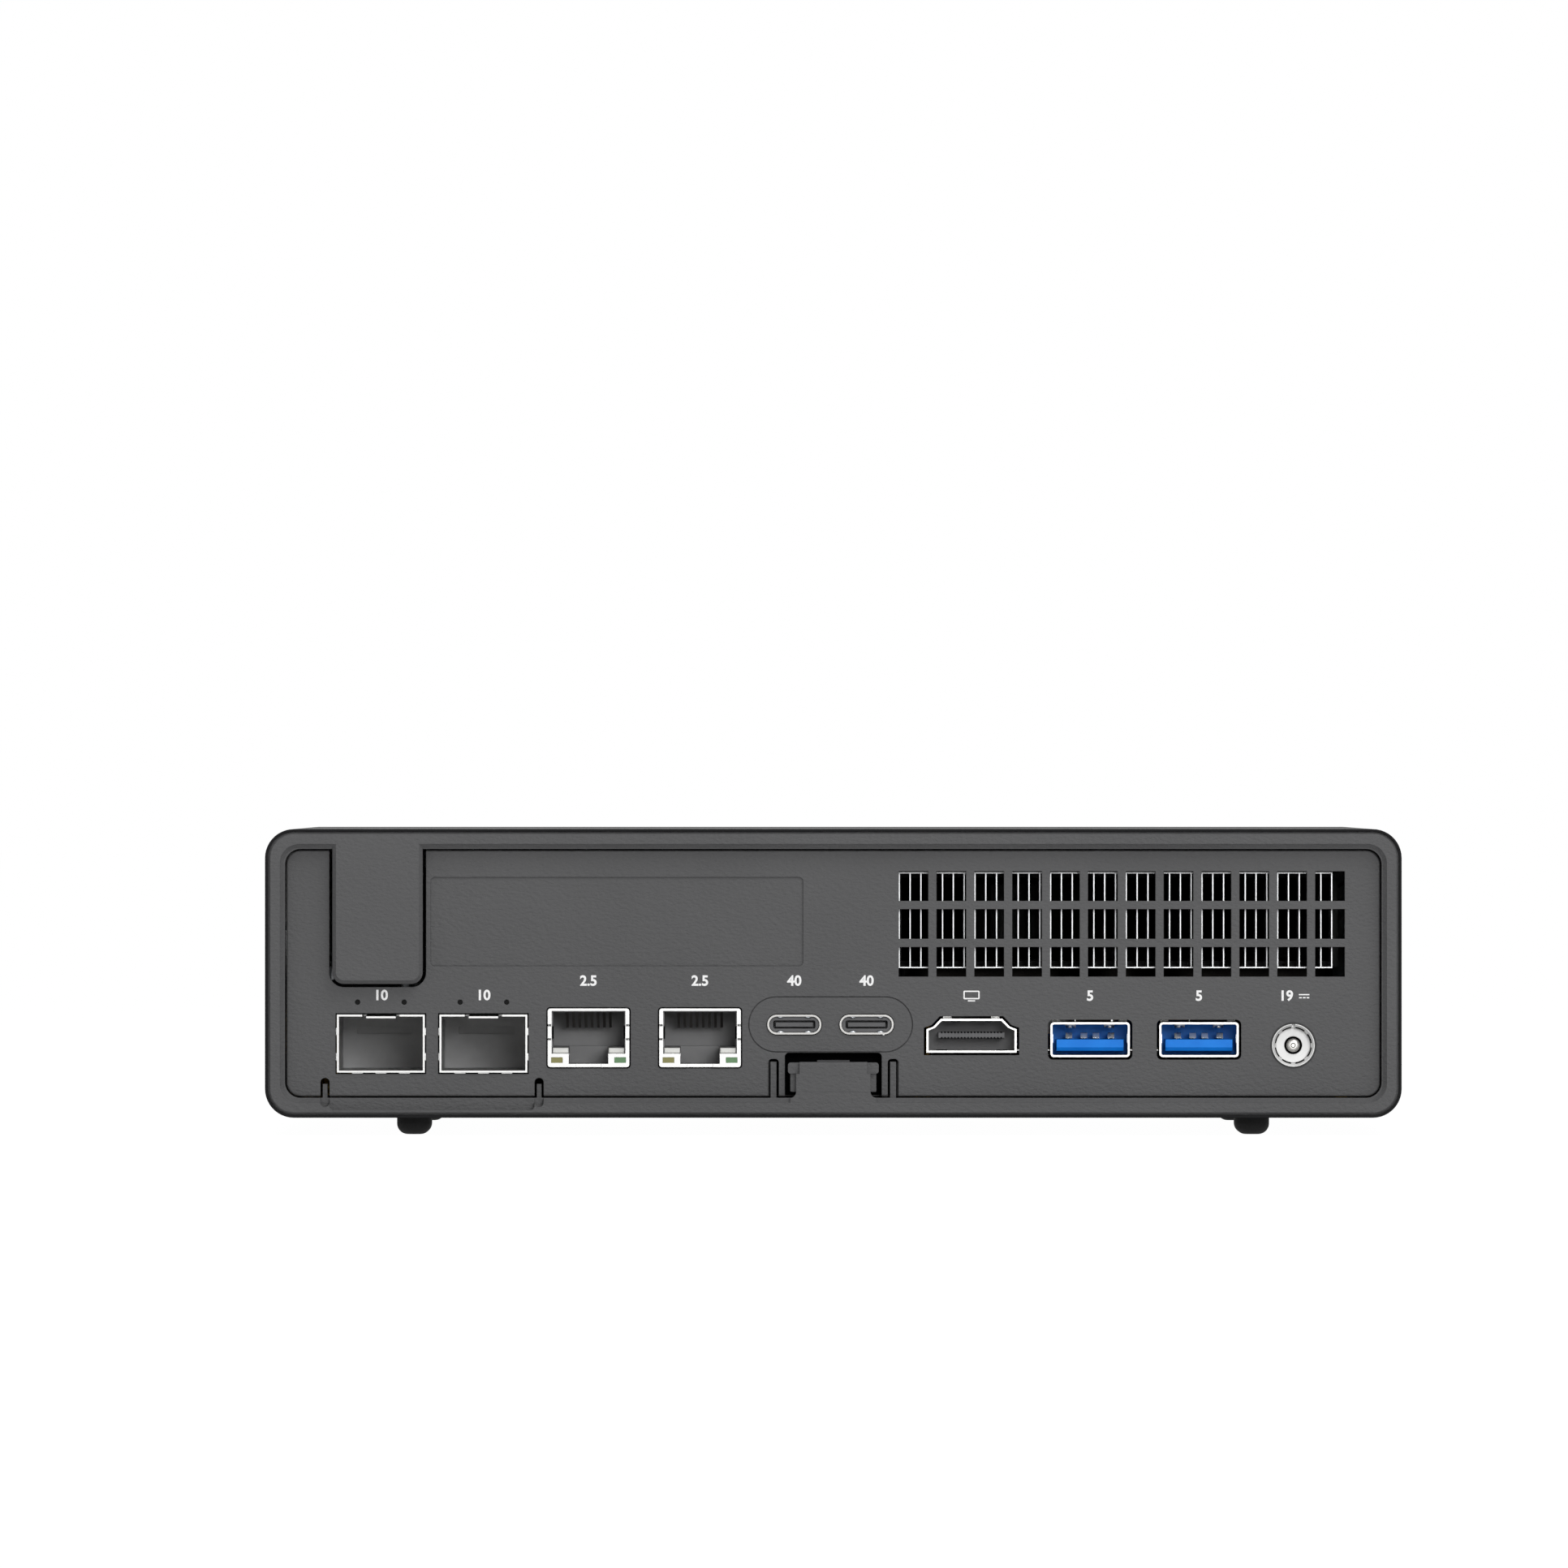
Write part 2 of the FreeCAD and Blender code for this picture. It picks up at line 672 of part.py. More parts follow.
# ---------------------------------------------------------------- rear connectors
def sfp_cage(x):
    """Folded sheet cage: open mouth, sprung latch tab in a slot at the top, contact bumps round the mouth."""
    half_x, half_z = sfp_width / 2, sfp_height / 2
    end = port_face + sfp_length
    cage = without(
        block(x - half_x, x + half_x, port_face, end, sfp_z - half_z, sfp_z + half_z),
        block(x - half_x + sfp_wall, x + half_x - sfp_wall, port_face - 1, end - sfp_wall,
              sfp_z - half_z + sfp_wall, sfp_z + half_z - sfp_wall),
        block(x - 3.1, x + 3.1, port_face - 1, port_face + 9,
              sfp_z + half_z - sfp_wall - 0.1, sfp_z + half_z + 1),
    )
    top = sfp_z + half_z
    tab = prism_x([(port_face + 0.2, top - 0.62), (port_face + 0.2, top - 0.29), (port_face + 9.2, top),
                   (port_face + 9.2, top - sfp_wall)], x - 2.45, x + 2.45)
    bumps = []
    for z in (sfp_z - 2.2, sfp_z + 2.0):
        for side in (-1, 1):
            edge = x + side * half_x
            bumps.append(block(min(edge, edge + side * 0.17), max(edge, edge + side * 0.17),
                               panel_face + 0.2, panel_back, z - 0.6, z + 0.6))
    for offset in (-3.9, 0.0, 3.9):
        bumps.append(block(x + offset - 0.9, x + offset + 0.9, panel_face + 0.2, panel_back,
                           sfp_z - half_z - 0.17, sfp_z - half_z))
    return join(cage, tab, *bumps)


def sfp_connectors():
    """Host connectors that close the cages at the back, each with a slot for the module's edge."""
    solids = []
    start = port_face + sfp_mouth_length
    for x in sfp_centres:
        body = block(x - sfp_width / 2 + sfp_wall, x + sfp_width / 2 - sfp_wall, start,
                     port_face + sfp_length - sfp_wall, sfp_z - sfp_height / 2 + sfp_wall,
                     sfp_z + sfp_height / 2 - sfp_wall)
        solids.append(without(body, block(x - 4.6, x + 4.6, start - 1, start + 1.2, sfp_z + 1.2, sfp_z + 2.4)))
    return group(solids)


def sfp_light_pipes():
    """Four clear rods from the board to the lamp holes of the panel."""
    pipes = []
    for x in sfp_centres:
        for side in (-1, 1):
            at = x + side * sfp_lamp_offset
            rod = disc(at, panel_face + 0.5, sfp_lamp_z, sfp_lamp_radius - 0.06, panel_thickness + 7)
            foot = block(at - 0.37, at + 0.37, panel_back + 4.5, panel_back + 6.5, board_top, sfp_lamp_z)
            pipes.append(join(rod, foot))
    return group(pipes)


def rj45_shell(x):
    """Plated jack shell: face plate with the stepped mouth, lamp windows, split side walls and guide tabs."""
    half_x, half_z = rj45_width / 2, rj45_height / 2
    low, high = rj45_z - half_z, rj45_z + half_z
    end = port_face + rj45_length
    can = rounded(x - half_x, x + half_x, port_face, end, low, high, 0.45)
    hollow = block(x - half_x + rj45_wall, x + half_x - rj45_wall, port_face + 0.5, end - rj45_wall,
                   low + rj45_wall, high - rj45_wall)
    mouth = block(x - rj45_mouth_width / 2, x + rj45_mouth_width / 2, port_face - 1, port_face + 1,
                  rj45_mouth_bottom, rj45_mouth_top)
    keyway = block(x - rj45_keyway_width / 2, x + rj45_keyway_width / 2, port_face - 1, port_face + 1,
                   rj45_keyway_bottom, rj45_mouth_bottom + 1)
    lip = block(x - rj45_lip_width / 2, x + rj45_lip_width / 2, port_face - 1, port_face + 0.3,
                low - 1, rj45_keyway_bottom + 1)
    tools = [hollow, mouth, keyway, lip]
    for side in (-1, 1):
        at = x + side * rj45_lamp_offset
        tools.append(block(at - rj45_lamp_width / 2, at + rj45_lamp_width / 2, port_face - 1, port_face + 1,
                           rj45_lamp_z - rj45_lamp_height / 2, rj45_lamp_z + rj45_lamp_height / 2))
        for z in (rj45_z - 0.23, rj45_z + 2.09):
            edge = x + side * half_x
            tools.append(block(min(edge, edge - side * 0.55) - 0.01, max(edge, edge - side * 0.55) + 0.01,
                               port_face - 1, port_face + 2.5, z - 0.16, z + 0.16))
    tabs = []
    for side in (-1, 1):
        outer = x + side * (rj45_mouth_width / 2 - 0.05)
        inner = x + side * (rj45_keyway_width / 2 - 0.05)
        z = rj45_mouth_bottom
        tabs.append(prism_x([(port_face + 0.45, z), (port_face + 0.45, z - 0.35),
                             (port_face + 2.2, z + 0.8), (port_face + 2.2, z + 1.15)],
                            min(outer, inner), max(outer, inner)))
    return join(without(can, *tools), *tabs)


def rj45_housing(x):
    """Moulded insert with the stepped plug cavity, behind the face plate of the shell."""
    half_x, half_z = rj45_width / 2 - rj45_wall, rj45_height / 2 - rj45_wall
    start = port_face + 0.5
    end = port_face + rj45_length - rj45_wall
    body = block(x - half_x, x + half_x, start, end, rj45_z - half_z, rj45_z + half_z)
    depth_in = start + 14.5
    tools = [
        block(x - 5.95, x + 5.95, start - 1, depth_in, rj45_mouth_bottom + 1.15, rj45_z + half_z - 0.25),
        block(x - rj45_mouth_width / 2, x + rj45_mouth_width / 2, start - 1, start + 1.75,
              rj45_mouth_bottom - 0.4, rj45_mouth_top),
        block(x - rj45_keyway_width / 2, x + rj45_keyway_width / 2, start - 1, depth_in - 2,
              rj45_keyway_bottom, rj45_mouth_bottom + 2),
    ]
    for side in (-1, 1):
        at = x + side * rj45_lamp_offset
        tools.append(block(at - rj45_lamp_width / 2, at + rj45_lamp_width / 2, start - 1, start + 5,
                           rj45_lamp_z - rj45_lamp_height / 2, rj45_lamp_z + rj45_lamp_height / 2))
    return without(body, *tools)


def rj45_contacts():
    """Eight sprung wires in each jack, sloping down from the roof of the cavity."""
    wires = []
    roof = rj45_z + rj45_height / 2 - rj45_wall - 0.25
    for x in rj45_centres:
        for i in range(8):
            at = x + (i - 3.5) * rj45_contact_pitch
            wires.append(prism_x([(port_face + 3.0, roof - 0.02), (port_face + 3.5, roof),
                                  (port_face + 12.0, roof - 2.25), (port_face + 12.0, roof - 2.7),
                                  (port_face + 11.0, roof - 2.7)], at - 0.22, at + 0.22))
    return group(wires)


def rj45_lamps(side):
    """The pair of lamps on one side of the jacks."""
    centres = [x + side * rj45_lamp_offset for x in rj45_centres]
    return group([block(x - rj45_lamp_width / 2, x + rj45_lamp_width / 2, port_face + 0.06, port_face + 5.0,
                        rj45_lamp_z - rj45_lamp_height / 2, rj45_lamp_z + rj45_lamp_height / 2)
                  for x in centres])


def usb_c_shell(x):
    """Drawn oval shell with two legs to the board."""
    half_x, half_z = usb_c_width / 2, usb_c_height / 2
    end = port_face + usb_c_length
    outer = rounded(x - half_x, x + half_x, port_face, end, usb_c_z - half_z, usb_c_z + half_z, half_z - 0.05)
    inner = rounded(x - half_x + usb_c_wall, x + half_x - usb_c_wall, port_face - 1, end + 1,
                    usb_c_z - half_z + usb_c_wall, usb_c_z + half_z - usb_c_wall, half_z - usb_c_wall - 0.05)
    legs = [block(x + side * 3.0 - 0.6, x + side * 3.0 + 0.6, board_rear + 2, board_rear + 4,
                  usb_c_z + half_z - 0.1, board_z) for side in (-1, 1)]
    return join(without(outer, inner), *legs)


def usb_c_tongues():
    """Plastic base and thin tongue of each small port."""
    solids = []
    for x in usb_c_centres:
        half_x, half_z = usb_c_width / 2 - usb_c_wall, usb_c_height / 2 - usb_c_wall
        base = rounded(x - half_x, x + half_x, port_face + 5.0, port_face + usb_c_length,
                       usb_c_z - half_z, usb_c_z + half_z, half_z - 0.05)
        root = block(x - 3.38, x + 3.38, port_face + 3.2, port_face + 5.0, usb_c_z - 0.62, usb_c_z + 0.62)
        tongue = block(x - 3.1, x + 3.1, port_face + 1.0, port_face + 3.2, usb_c_z - 0.36, usb_c_z + 0.36)
        solids.append(join(base, root, tongue))
    return group(solids)


def hdmi_shell():
    """Folded trapezoid shell, wide side down, with two legs to the board."""
    end = port_face + hdmi_length
    shell = without(prism_y(hdmi_outline(0), port_face, end),
                    prism_y(hdmi_outline(-hdmi_wall), port_face - 1, end + 1))
    legs = [block(hdmi_x + side * 4.0 - 0.7, hdmi_x + side * 4.0 + 0.7, board_rear + 2, board_rear + 5,
                  hdmi_top - 0.15, board_z) for side in (-1, 1)]
    return join(shell, *legs)


def hdmi_tongue():
    """Base and contact blade of the trapezoid port, with a row of contact grooves along the blade."""
    base = prism_y(hdmi_outline(-hdmi_wall), port_face + 6.5, port_face + hdmi_length)
    low, high = hdmi_bottom + 2.45, hdmi_bottom + 3.35
    blade = block(hdmi_x - 5.5, hdmi_x + 5.5, port_face + 1.6, port_face + 6.5, low, high)
    grooves = [block(x - 0.13, x + 0.13, port_face, port_face + 6.0, z, z + 0.14)
               for x in [hdmi_x + (i - 9) * 0.55 for i in range(19)] for z in (low, high - 0.14)]
    return join(base, without(blade, *grooves))


def usb_a_shell(x, z, face, direction, seat):
    """Rectangular port shell with four legs; direction is +1 for a port that looks to the rear."""
    half_x, half_z = usb_a_width / 2, usb_a_height / 2
    y0, y1 = sorted((face, face + direction * usb_a_length))
    outer = rounded(x - half_x, x + half_x, y0, y1, z - half_z, z + half_z, 0.6)
    inner = rounded(x - half_x + usb_a_wall, x + half_x - usb_a_wall, y0 - 1, y1 + 1,
                    z - half_z + usb_a_wall, z + half_z - usb_a_wall, 0.3)
    near, far = sorted((face + direction * usb_a_length, face + direction * (usb_a_length - 3)))
    legs = [block(x + side * (half_x - 1.0) - 0.7, x + side * (half_x - 1.0) + 0.7, near, far,
                  z + half_z - 0.1, seat) for side in (-1, 1)]
    return join(without(outer, inner), *legs)


def usb_a_tongue(x, z, face, direction):
    """Plastic base and contact tongue of one rectangular port, tongue in the lower half."""
    half_x, half_z = usb_a_width / 2 - usb_a_wall, usb_a_height / 2 - usb_a_wall
    drop = usb_a_z - z
    y0, y1 = sorted((face + direction * 9.0, face + direction * usb_a_length))
    base = rounded(x - half_x, x + half_x, y0, y1, z - half_z, z + half_z, 0.29)
    low, high = usb_a_tongue_bottom - drop, usb_a_tongue_top - drop
    tip, root = face + direction * 0.9, face + direction * 9.0
    tongue = prism_x([(tip, low + 0.55), (tip + direction * 0.7, low), (root, low), (root, high), (tip, high)],
                     x - usb_a_tongue_width / 2, x + usb_a_tongue_width / 2)
    return join(base, tongue)


def usb_a_contacts():
    """Four sprung contacts on top of each blue tongue."""
    solids = []
    for x in usb_a_centres:
        for offset in usb_a_contact_offsets:
            at = x + offset
            top = usb_a_tongue_top
            solids.append(prism_x([(port_face + 2.6, top + 0.2), (port_face + 3.2, top + 1.05),
                                   (port_face + 5.0, top + 1.15), (port_face + 9.0, top + 0.6),
                                   (port_face + 9.0, top + 0.2)], at - 0.55, at + 0.55))
    return group(solids)


def dc_jack_body():
    """Moulded block of the power inlet, with a collar round the barrel."""
    housing = block(dc_x - 5.5, dc_x + 5.5, board_rear, port_face + dc_length, dc_z - 5.0, board_z)
    collar = disc(dc_x, port_face + 0.25, dc_z, dc_window_radius - 0.02, board_rear - port_face)
    return without(join(housing, collar), disc(dc_x, port_face - 1, dc_z, dc_radius + 0.03, dc_length))


def dc_jack_barrel():
    """Plated cup of the power inlet: flared mouth, floor with a hole for the pin, and a key notch."""
    y = port_face
    floor_back = y + dc_floor_depth + 0.8
    outline = [V(dc_radius, y, 0), V(dc_radius, floor_back, 0), V(dc_collar_radius + 0.05, floor_back, 0),
               V(dc_collar_radius + 0.05, y + dc_floor_depth, 0), V(dc_bore_radius, y + dc_floor_depth, 0),
               V(dc_bore_radius, y + 0.55, 0), V(dc_radius - 0.12, y, 0), V(dc_radius, y, 0)]
    barrel = Part.Face(Part.makePolygon(outline)).revolve(V(0, 0, 0), V(0, 1, 0), 360)
    barrel = without(barrel, block(-0.28, 0.28, y - 1, y + 1.4, dc_bore_radius - 0.5, dc_radius + 1))
    barrel.translate(V(dc_x, 0, dc_z))
    return barrel


def dc_pin():
    """Centre pin of the power inlet, rounded at its tip, on a collar and a seat behind the barrel."""
    y = port_face + 1.0
    pin = disc(dc_x, y, dc_z, dc_pin_radius, dc_floor_depth)
    pin = pin.makeFillet(0.6, front_edges(pin, y))
    collar = disc(dc_x, port_face + 3.0, dc_z, dc_collar_radius, dc_floor_depth - 1.0)
    seat_start = port_face + dc_floor_depth + 0.8
    seat = disc(dc_x, seat_start, dc_z, dc_radius, port_face + dc_length - 1.0 - seat_start)
    return join(pin, collar, seat)


# ---------------------------------------------------------------- cooling
def fin_stack():
    """Folded fins between a top and a bottom sheet."""
    fins = [block(fin_left + i * fin_pitch, fin_left + i * fin_pitch + fin_thickness, fin_rear, fin_front,
                  fin_bottom, fin_top) for i in range(fin_count)]
    sheets = [block(fin_left, fin_right, fin_rear, fin_front, z, z + fin_thickness)
              for z in (fin_bottom, fin_top - fin_thickness)]
    return join(fins[0], *fins[1:], *sheets)


def cpu_package():
    """Processor package with its bare die."""
    top = board_top + cpu_substrate
    substrate = block(cpu_x - 22, cpu_x + 22, cpu_y - 14, cpu_y + 14, board_top, top)
    return join(substrate, block(cpu_x - 9, cpu_x + 9, cpu_y - 6, cpu_y + 6, top, top + cpu_die))


def cooler_base():
    """Cold plate on the die."""
    return rounded(cpu_x - 24, cpu_x + 24, cpu_y - 20, cpu_y + 20,
                   base_bottom, base_bottom + base_thickness, 3.0, "Z")


def heat_pipes():
    """Three flattened pipes from the cold plate to below the fins, the outer two bent outwards."""
    z0, z1 = fin_bottom - pipe_thickness, fin_bottom
    pipes = []
    for i in (-1, 0, 1):
        x = cpu_x + i * pipe_spacing
        end = fin_rear + 4 + pipe_width / 2 if i == 0 else fin_rear + 14
        run = [block(x - pipe_width / 2, x + pipe_width / 2, end, cpu_y + 16, z0, z1),
               disc(x, cpu_y + 16, z0, pipe_width / 2, z1 - z0, "Z"),
               disc(x, end, z0, pipe_width / 2, z1 - z0, "Z")]
        if i:
            far = cpu_x + i * 32.0
            run.append(block(min(x, far), max(x, far), end - pipe_width / 2, end + pipe_width / 2, z0, z1))
            run.append(disc(far, end, z0, pipe_width / 2, z1 - z0, "Z"))
        pipes.append(join(*run))
    return group(pipes)


def blower_housing():
    """Scroll box that feeds the fins: open to the rear, with a round inlet in its roof and in its floor."""
    y0, y1 = fin_front, blower_front
    box = rounded(blower_left, blower_right, y0 - 20, y1, fin_bottom, fin_top, 9.0, "Z")
    hollow = rounded(blower_left + blower_wall, blower_right - blower_wall, y0 - 30, y1 - blower_wall,
                     fin_bottom + blower_wall, fin_top - blower_wall, 8.0, "Z")
    trim = block(blower_left - 1, blower_right + 1, y0 - 30, y0, fin_bottom - 1, fin_top + 1)
    inlet = disc(cpu_x, cpu_y, fin_top - 2, blower_inlet_radius, 9, "Z")
    ring = without(disc(cpu_x, cpu_y, fin_bottom - 1, blower_inlet_radius, blower_wall + 1, "Z"),
                   disc(cpu_x, cpu_y, fin_bottom - 2, 9.0, 9, "Z"))
    spokes = [block(cpu_x - 23, cpu_x + 23, cpu_y - 2, cpu_y + 2, fin_bottom, fin_bottom + blower_wall),
              block(cpu_x - 2, cpu_x + 2, cpu_y - 23, cpu_y + 23, fin_bottom, fin_bottom + blower_wall)]
    return join(without(box, hollow, trim, inlet, ring), *spokes)


def motor_boss(x, y, z0, z1, radius):
    """A bearing post with a bore for the shaft."""
    return without(disc(x, y, z0, radius, z1 - z0, "Z"),
                   disc(x, y, z0 + 1.0, shaft_radius + shaft_clearance, z1 - z0, "Z"))


def blower_motor():
    """Stator with the bearing of the blower."""
    floor = fin_bottom + blower_wall
    return join(motor_boss(cpu_x, cpu_y, floor, floor + 7.0, 4.0),
                without(disc(cpu_x, cpu_y, floor, 8.5, 2.0, "Z"), disc(cpu_x, cpu_y, floor + 1, 2.0, 9, "Z")))


def blade(inner_radius, tip_radius, z0, z1, lead, thickness):
    """One curved blade: an arc from hub to tip, thickened, and lead degrees behind at its tip."""
    def at(radius, angle, shift):
        a = math.radians(angle)
        return V(radius * math.cos(a) - shift * math.sin(a), radius * math.sin(a) + shift * math.cos(a), z0)
    middle = (inner_radius + tip_radius) / 2
    one = [at(inner_radius, 0, 0), at(middle, -lead * 0.32, 0), at(tip_radius, -lead, 0)]
    two = [at(inner_radius, 0, thickness), at(middle, -lead * 0.32, thickness),
           at(tip_radius, -lead, thickness)]
    edges = [Part.Arc(*one).toShape(), Part.LineSegment(one[2], two[2]).toShape(),
             Part.Arc(*two).toShape(), Part.LineSegment(two[0], one[0]).toShape()]
    return Part.Face(Part.Wire(Part.__sortEdges__(edges))).extrude(V(0, 0, z1 - z0))


def rotor(x, y, z0, z1, cup_top, hub, tip, count, lead, thickness, shaft_bottom):
    """Fan wheel: a hub cup on a shaft, with curved blades round it."""
    cup = without(disc(0, 0, z0, hub, cup_top - z0, "Z"),
                  disc(0, 0, z0 - 1, hub - 1.5, cup_top - z0 - 0.5, "Z"))
    blades = []
    for i in range(count):
        one = blade(hub - 0.7, tip, z0 + 0.4, z1, lead, thickness)
        one.rotate(V(0, 0, 0), V(0, 0, 1), i * 360.0 / count)
        blades.append(one)
    wheel = join(cup, disc(0, 0, shaft_bottom, shaft_radius, cup_top - 0.5 - shaft_bottom, "Z"), *blades)
    wheel.translate(V(x, y, 0))
    return wheel


def blower_rotor():
    """Wheel of the blower."""
    floor = fin_bottom + blower_wall
    return rotor(cpu_x, cpu_y, floor + 2.5, fin_top - blower_wall - 1.2, floor + 10.5, blower_hub_radius,
                 blower_tip_radius, blower_blades, 26, 0.7, floor + 1.6)


def ssd_fan_frame():
    """Low square fan frame on the tray floor, with four spokes and a bearing post."""
    s = ssd_fan_size / 2
    x, y, z0 = ssd_fan_x, ssd_fan_y, tray_floor
    z1 = z0 + ssd_fan_height
    box = rounded(x - s, x + s, y - s, y + s, z0, z1, 3.0, "Z")
    bore = disc(x, y, z0 - 1, s - 1.5, 20, "Z")
    holes = [disc(x + sx * (s - 3.2), y + sy * (s - 3.2), z0 - 1, 1.6, 20, "Z")
             for sx in (-1, 1) for sy in (-1, 1)]
    spokes = [block(x - s + 1, x + s - 1, y - 1.5, y + 1.5, z0, z0 + 1.2),
              block(x - 1.5, x + 1.5, y - s + 1, y + s - 1, z0, z0 + 1.2)]
    plate = without(disc(x, y, z0, 12.0, 1.2, "Z"), disc(x, y, z0 + 0.5, 1.5, 9, "Z"))
    return join(without(box, bore, *holes), *spokes, plate,
                motor_boss(x, y, z0 + 0.5, z0 + 5.0, 3.5))


def ssd_fan_rotor():
    """Wheel of the drive fan."""
    z0 = tray_floor + 1.8
    z1 = tray_floor + ssd_fan_height - 0.4
    return rotor(ssd_fan_x, ssd_fan_y, z0, z1, z1, 11.5, ssd_fan_size / 2 - 2.3, ssd_fan_blades, 38, 1.0,
                 z0 + 0.4)


# ---------------------------------------------------------------- modules on the board
def memory_places():
    """(start along Y, level of the module) of the low and the high memory socket."""
    return [(memory_y + 6.5, board_top + 2.4), (memory_y, board_top + 6.6)]


def memory_sockets():
    """Two stacked sockets with side arms."""
    solids = []
    for y, level in memory_places():
        bar = block(memory_left - 2, memory_left + memory_width + 2, y, y + 6, board_top, level + 2.4)
        slot = block(memory_left - 0.05, memory_left + memory_width + 0.05, y + 2.5, y + 9,
                     level - 0.05, level + 1.25)
        arms = [block(x, x + 1.6, y + 6, y + memory_depth + 3, level - 1.0, level + 2.0)
                for x in (memory_left - 2, memory_left + memory_width + 0.4)]
        solids.append(join(without(bar, slot), *arms))
    return group(solids)


def memory_modules():
    """Two memory modules with eight chips each."""
    solids = []
    for y, level in memory_places():
        board = block(memory_left, memory_left + memory_width, y + 2.6, y + 2.6 + memory_depth,
                      level, level + 1.2)
        chips = [block(memory_left + 4 + i * 15.6, memory_left + 16 + i * 15.6, y + 9 + row * 11.5,
                       y + 18.5 + row * 11.5, level + 1.2, level + 2.2) for i in range(4) for row in range(2)]
        solids.append(join(board, *chips))
    return group(solids)


def expansion_slot():
    """Sideways edge socket of the expansion bay, on a foot on the board."""
    z = board_top
    body = block(expansion_x, expansion_x + 9.0, expansion_y, expansion_y + expansion_length, z, z + 14.5)
    groove = block(expansion_x - 1, expansion_x + 6.5, expansion_y + 2, expansion_y + expansion_length - 2,
                   z + 10.4, z + 12.2)
    undercut = block(expansion_x - 1, expansion_x + 4.0, expansion_y - 1, expansion_y + expansion_length + 1,
                     z - 1, z + 7.5)
    return without(body, groove, undercut)


def ssd_sockets():
    """Three drive sockets under the board, and the post at the far end of each drive."""
    solids = []
    for x in ssd_centres:
        body = block(x - 11.2, x + 11.2, ssd_y - 7.5, ssd_y + 1.5, board_z - 4.6, board_z)
        solids.append(without(body, block(x - 11.0, x + 11.0, ssd_y, ssd_y + 9, board_z - 3.4, board_z - 2.5)))
        solids.append(disc(x, ssd_y + ssd_length - 0.3, board_z - 2.5, 2.4, 2.5, "Z"))
    return group(solids)


def ssd_modules():
    """Three drives hanging under the board, chips downwards."""
    solids = []
    for x in ssd_centres:
        level = board_z - 2.55
        card = block(x - ssd_width / 2 + 0.05, x + ssd_width / 2 - 0.05, ssd_y + 0.1, ssd_y + ssd_length,
                     level - 0.8, level)
        chips = [block(x - 8, x + 8, ssd_y + start, ssd_y + start + length, level - 2.0, level - 0.8)
                 for start, length in ((8, 14), (28, 18), (52, 18))]
        solids.append(join(card, *chips))
    return group(solids)


def coin_cell():
    """Clock battery in its holder, under the board."""
    holder = without(disc(30, 30, board_z - 4.5, 11.5, 4.5, "Z"), disc(30, 30, board_z - 9, 10.05, 8.2, "Z"))
    return group([holder, disc(30, 30, board_z - 4.1, 10.0, 3.2, "Z")])


def power_inductors():
    """Row of square coils beside the processor."""
    return group([rounded(cpu_x - 33 + i * 9, cpu_x - 26 + i * 9, cpu_y + 26, cpu_y + 33,
                          board_top, board_top + 3.6, 1.0, "Z") for i in range(7)])


# ---------------------------------------------------------------- front controls
def power_button():
    """Round button with a flange behind the skin and a stem towards the switch."""
    cap = disc(button_x, skin_back - 1.3, button_z, button_radius, fascia_skin + 1.3)
    cap = cap.makeFillet(0.5, front_edges(cap, front))
    flange = disc(button_x, skin_back - 1.3, button_z, button_radius + 1.3, 1.0)
    return join(cap, flange)


def button_switch():
    """Small push switch on the front wall, behind the button."""
    base = block(button_x - 3, button_x + 3, fascia_back, fascia_back + 1.6, button_z - 3, button_z + 3)
    tip = skin_back - 1.3 - button_travel - shaft_clearance
    return join(base, disc(button_x, fascia_back + 1.6, button_z, 1.75, tip - fascia_back - 1.6))


def power_led():
    """Light pipe of the power lamp."""
    return join(disc(led_x, fascia_back - 1, button_z, led_radius, front - 0.1 - fascia_back + 1),
                disc(led_x, fascia_back, button_z, led_radius + 1.2, 1.5))


def front_usb_shells():
    """Three port shells under the front edge of the board."""
    return group([usb_a_shell(x, front_port_z, front - 0.3, -1, board_z) for x in front_usb_centres])


def front_usb_tongues():
    """Plastic insides of the three front ports."""
    return group([usb_a_tongue(x, front_port_z, front - 0.3, -1) for x in front_usb_centres])


def audio_jack():
    """Round audio socket on a block that hangs from the board."""
    tube = disc(audio_x, board_front_y - 2, front_port_z, audio_radius, front - 0.2 - board_front_y + 2)
    body = block(audio_x - 3.5, audio_x + 3.5, board_front_y - 12, front_wall - 0.5,
                 front_port_z - 3.0, board_z)
    return without(join(body, tube), disc(audio_x, board_front_y - 8, front_port_z, 1.78, 30))


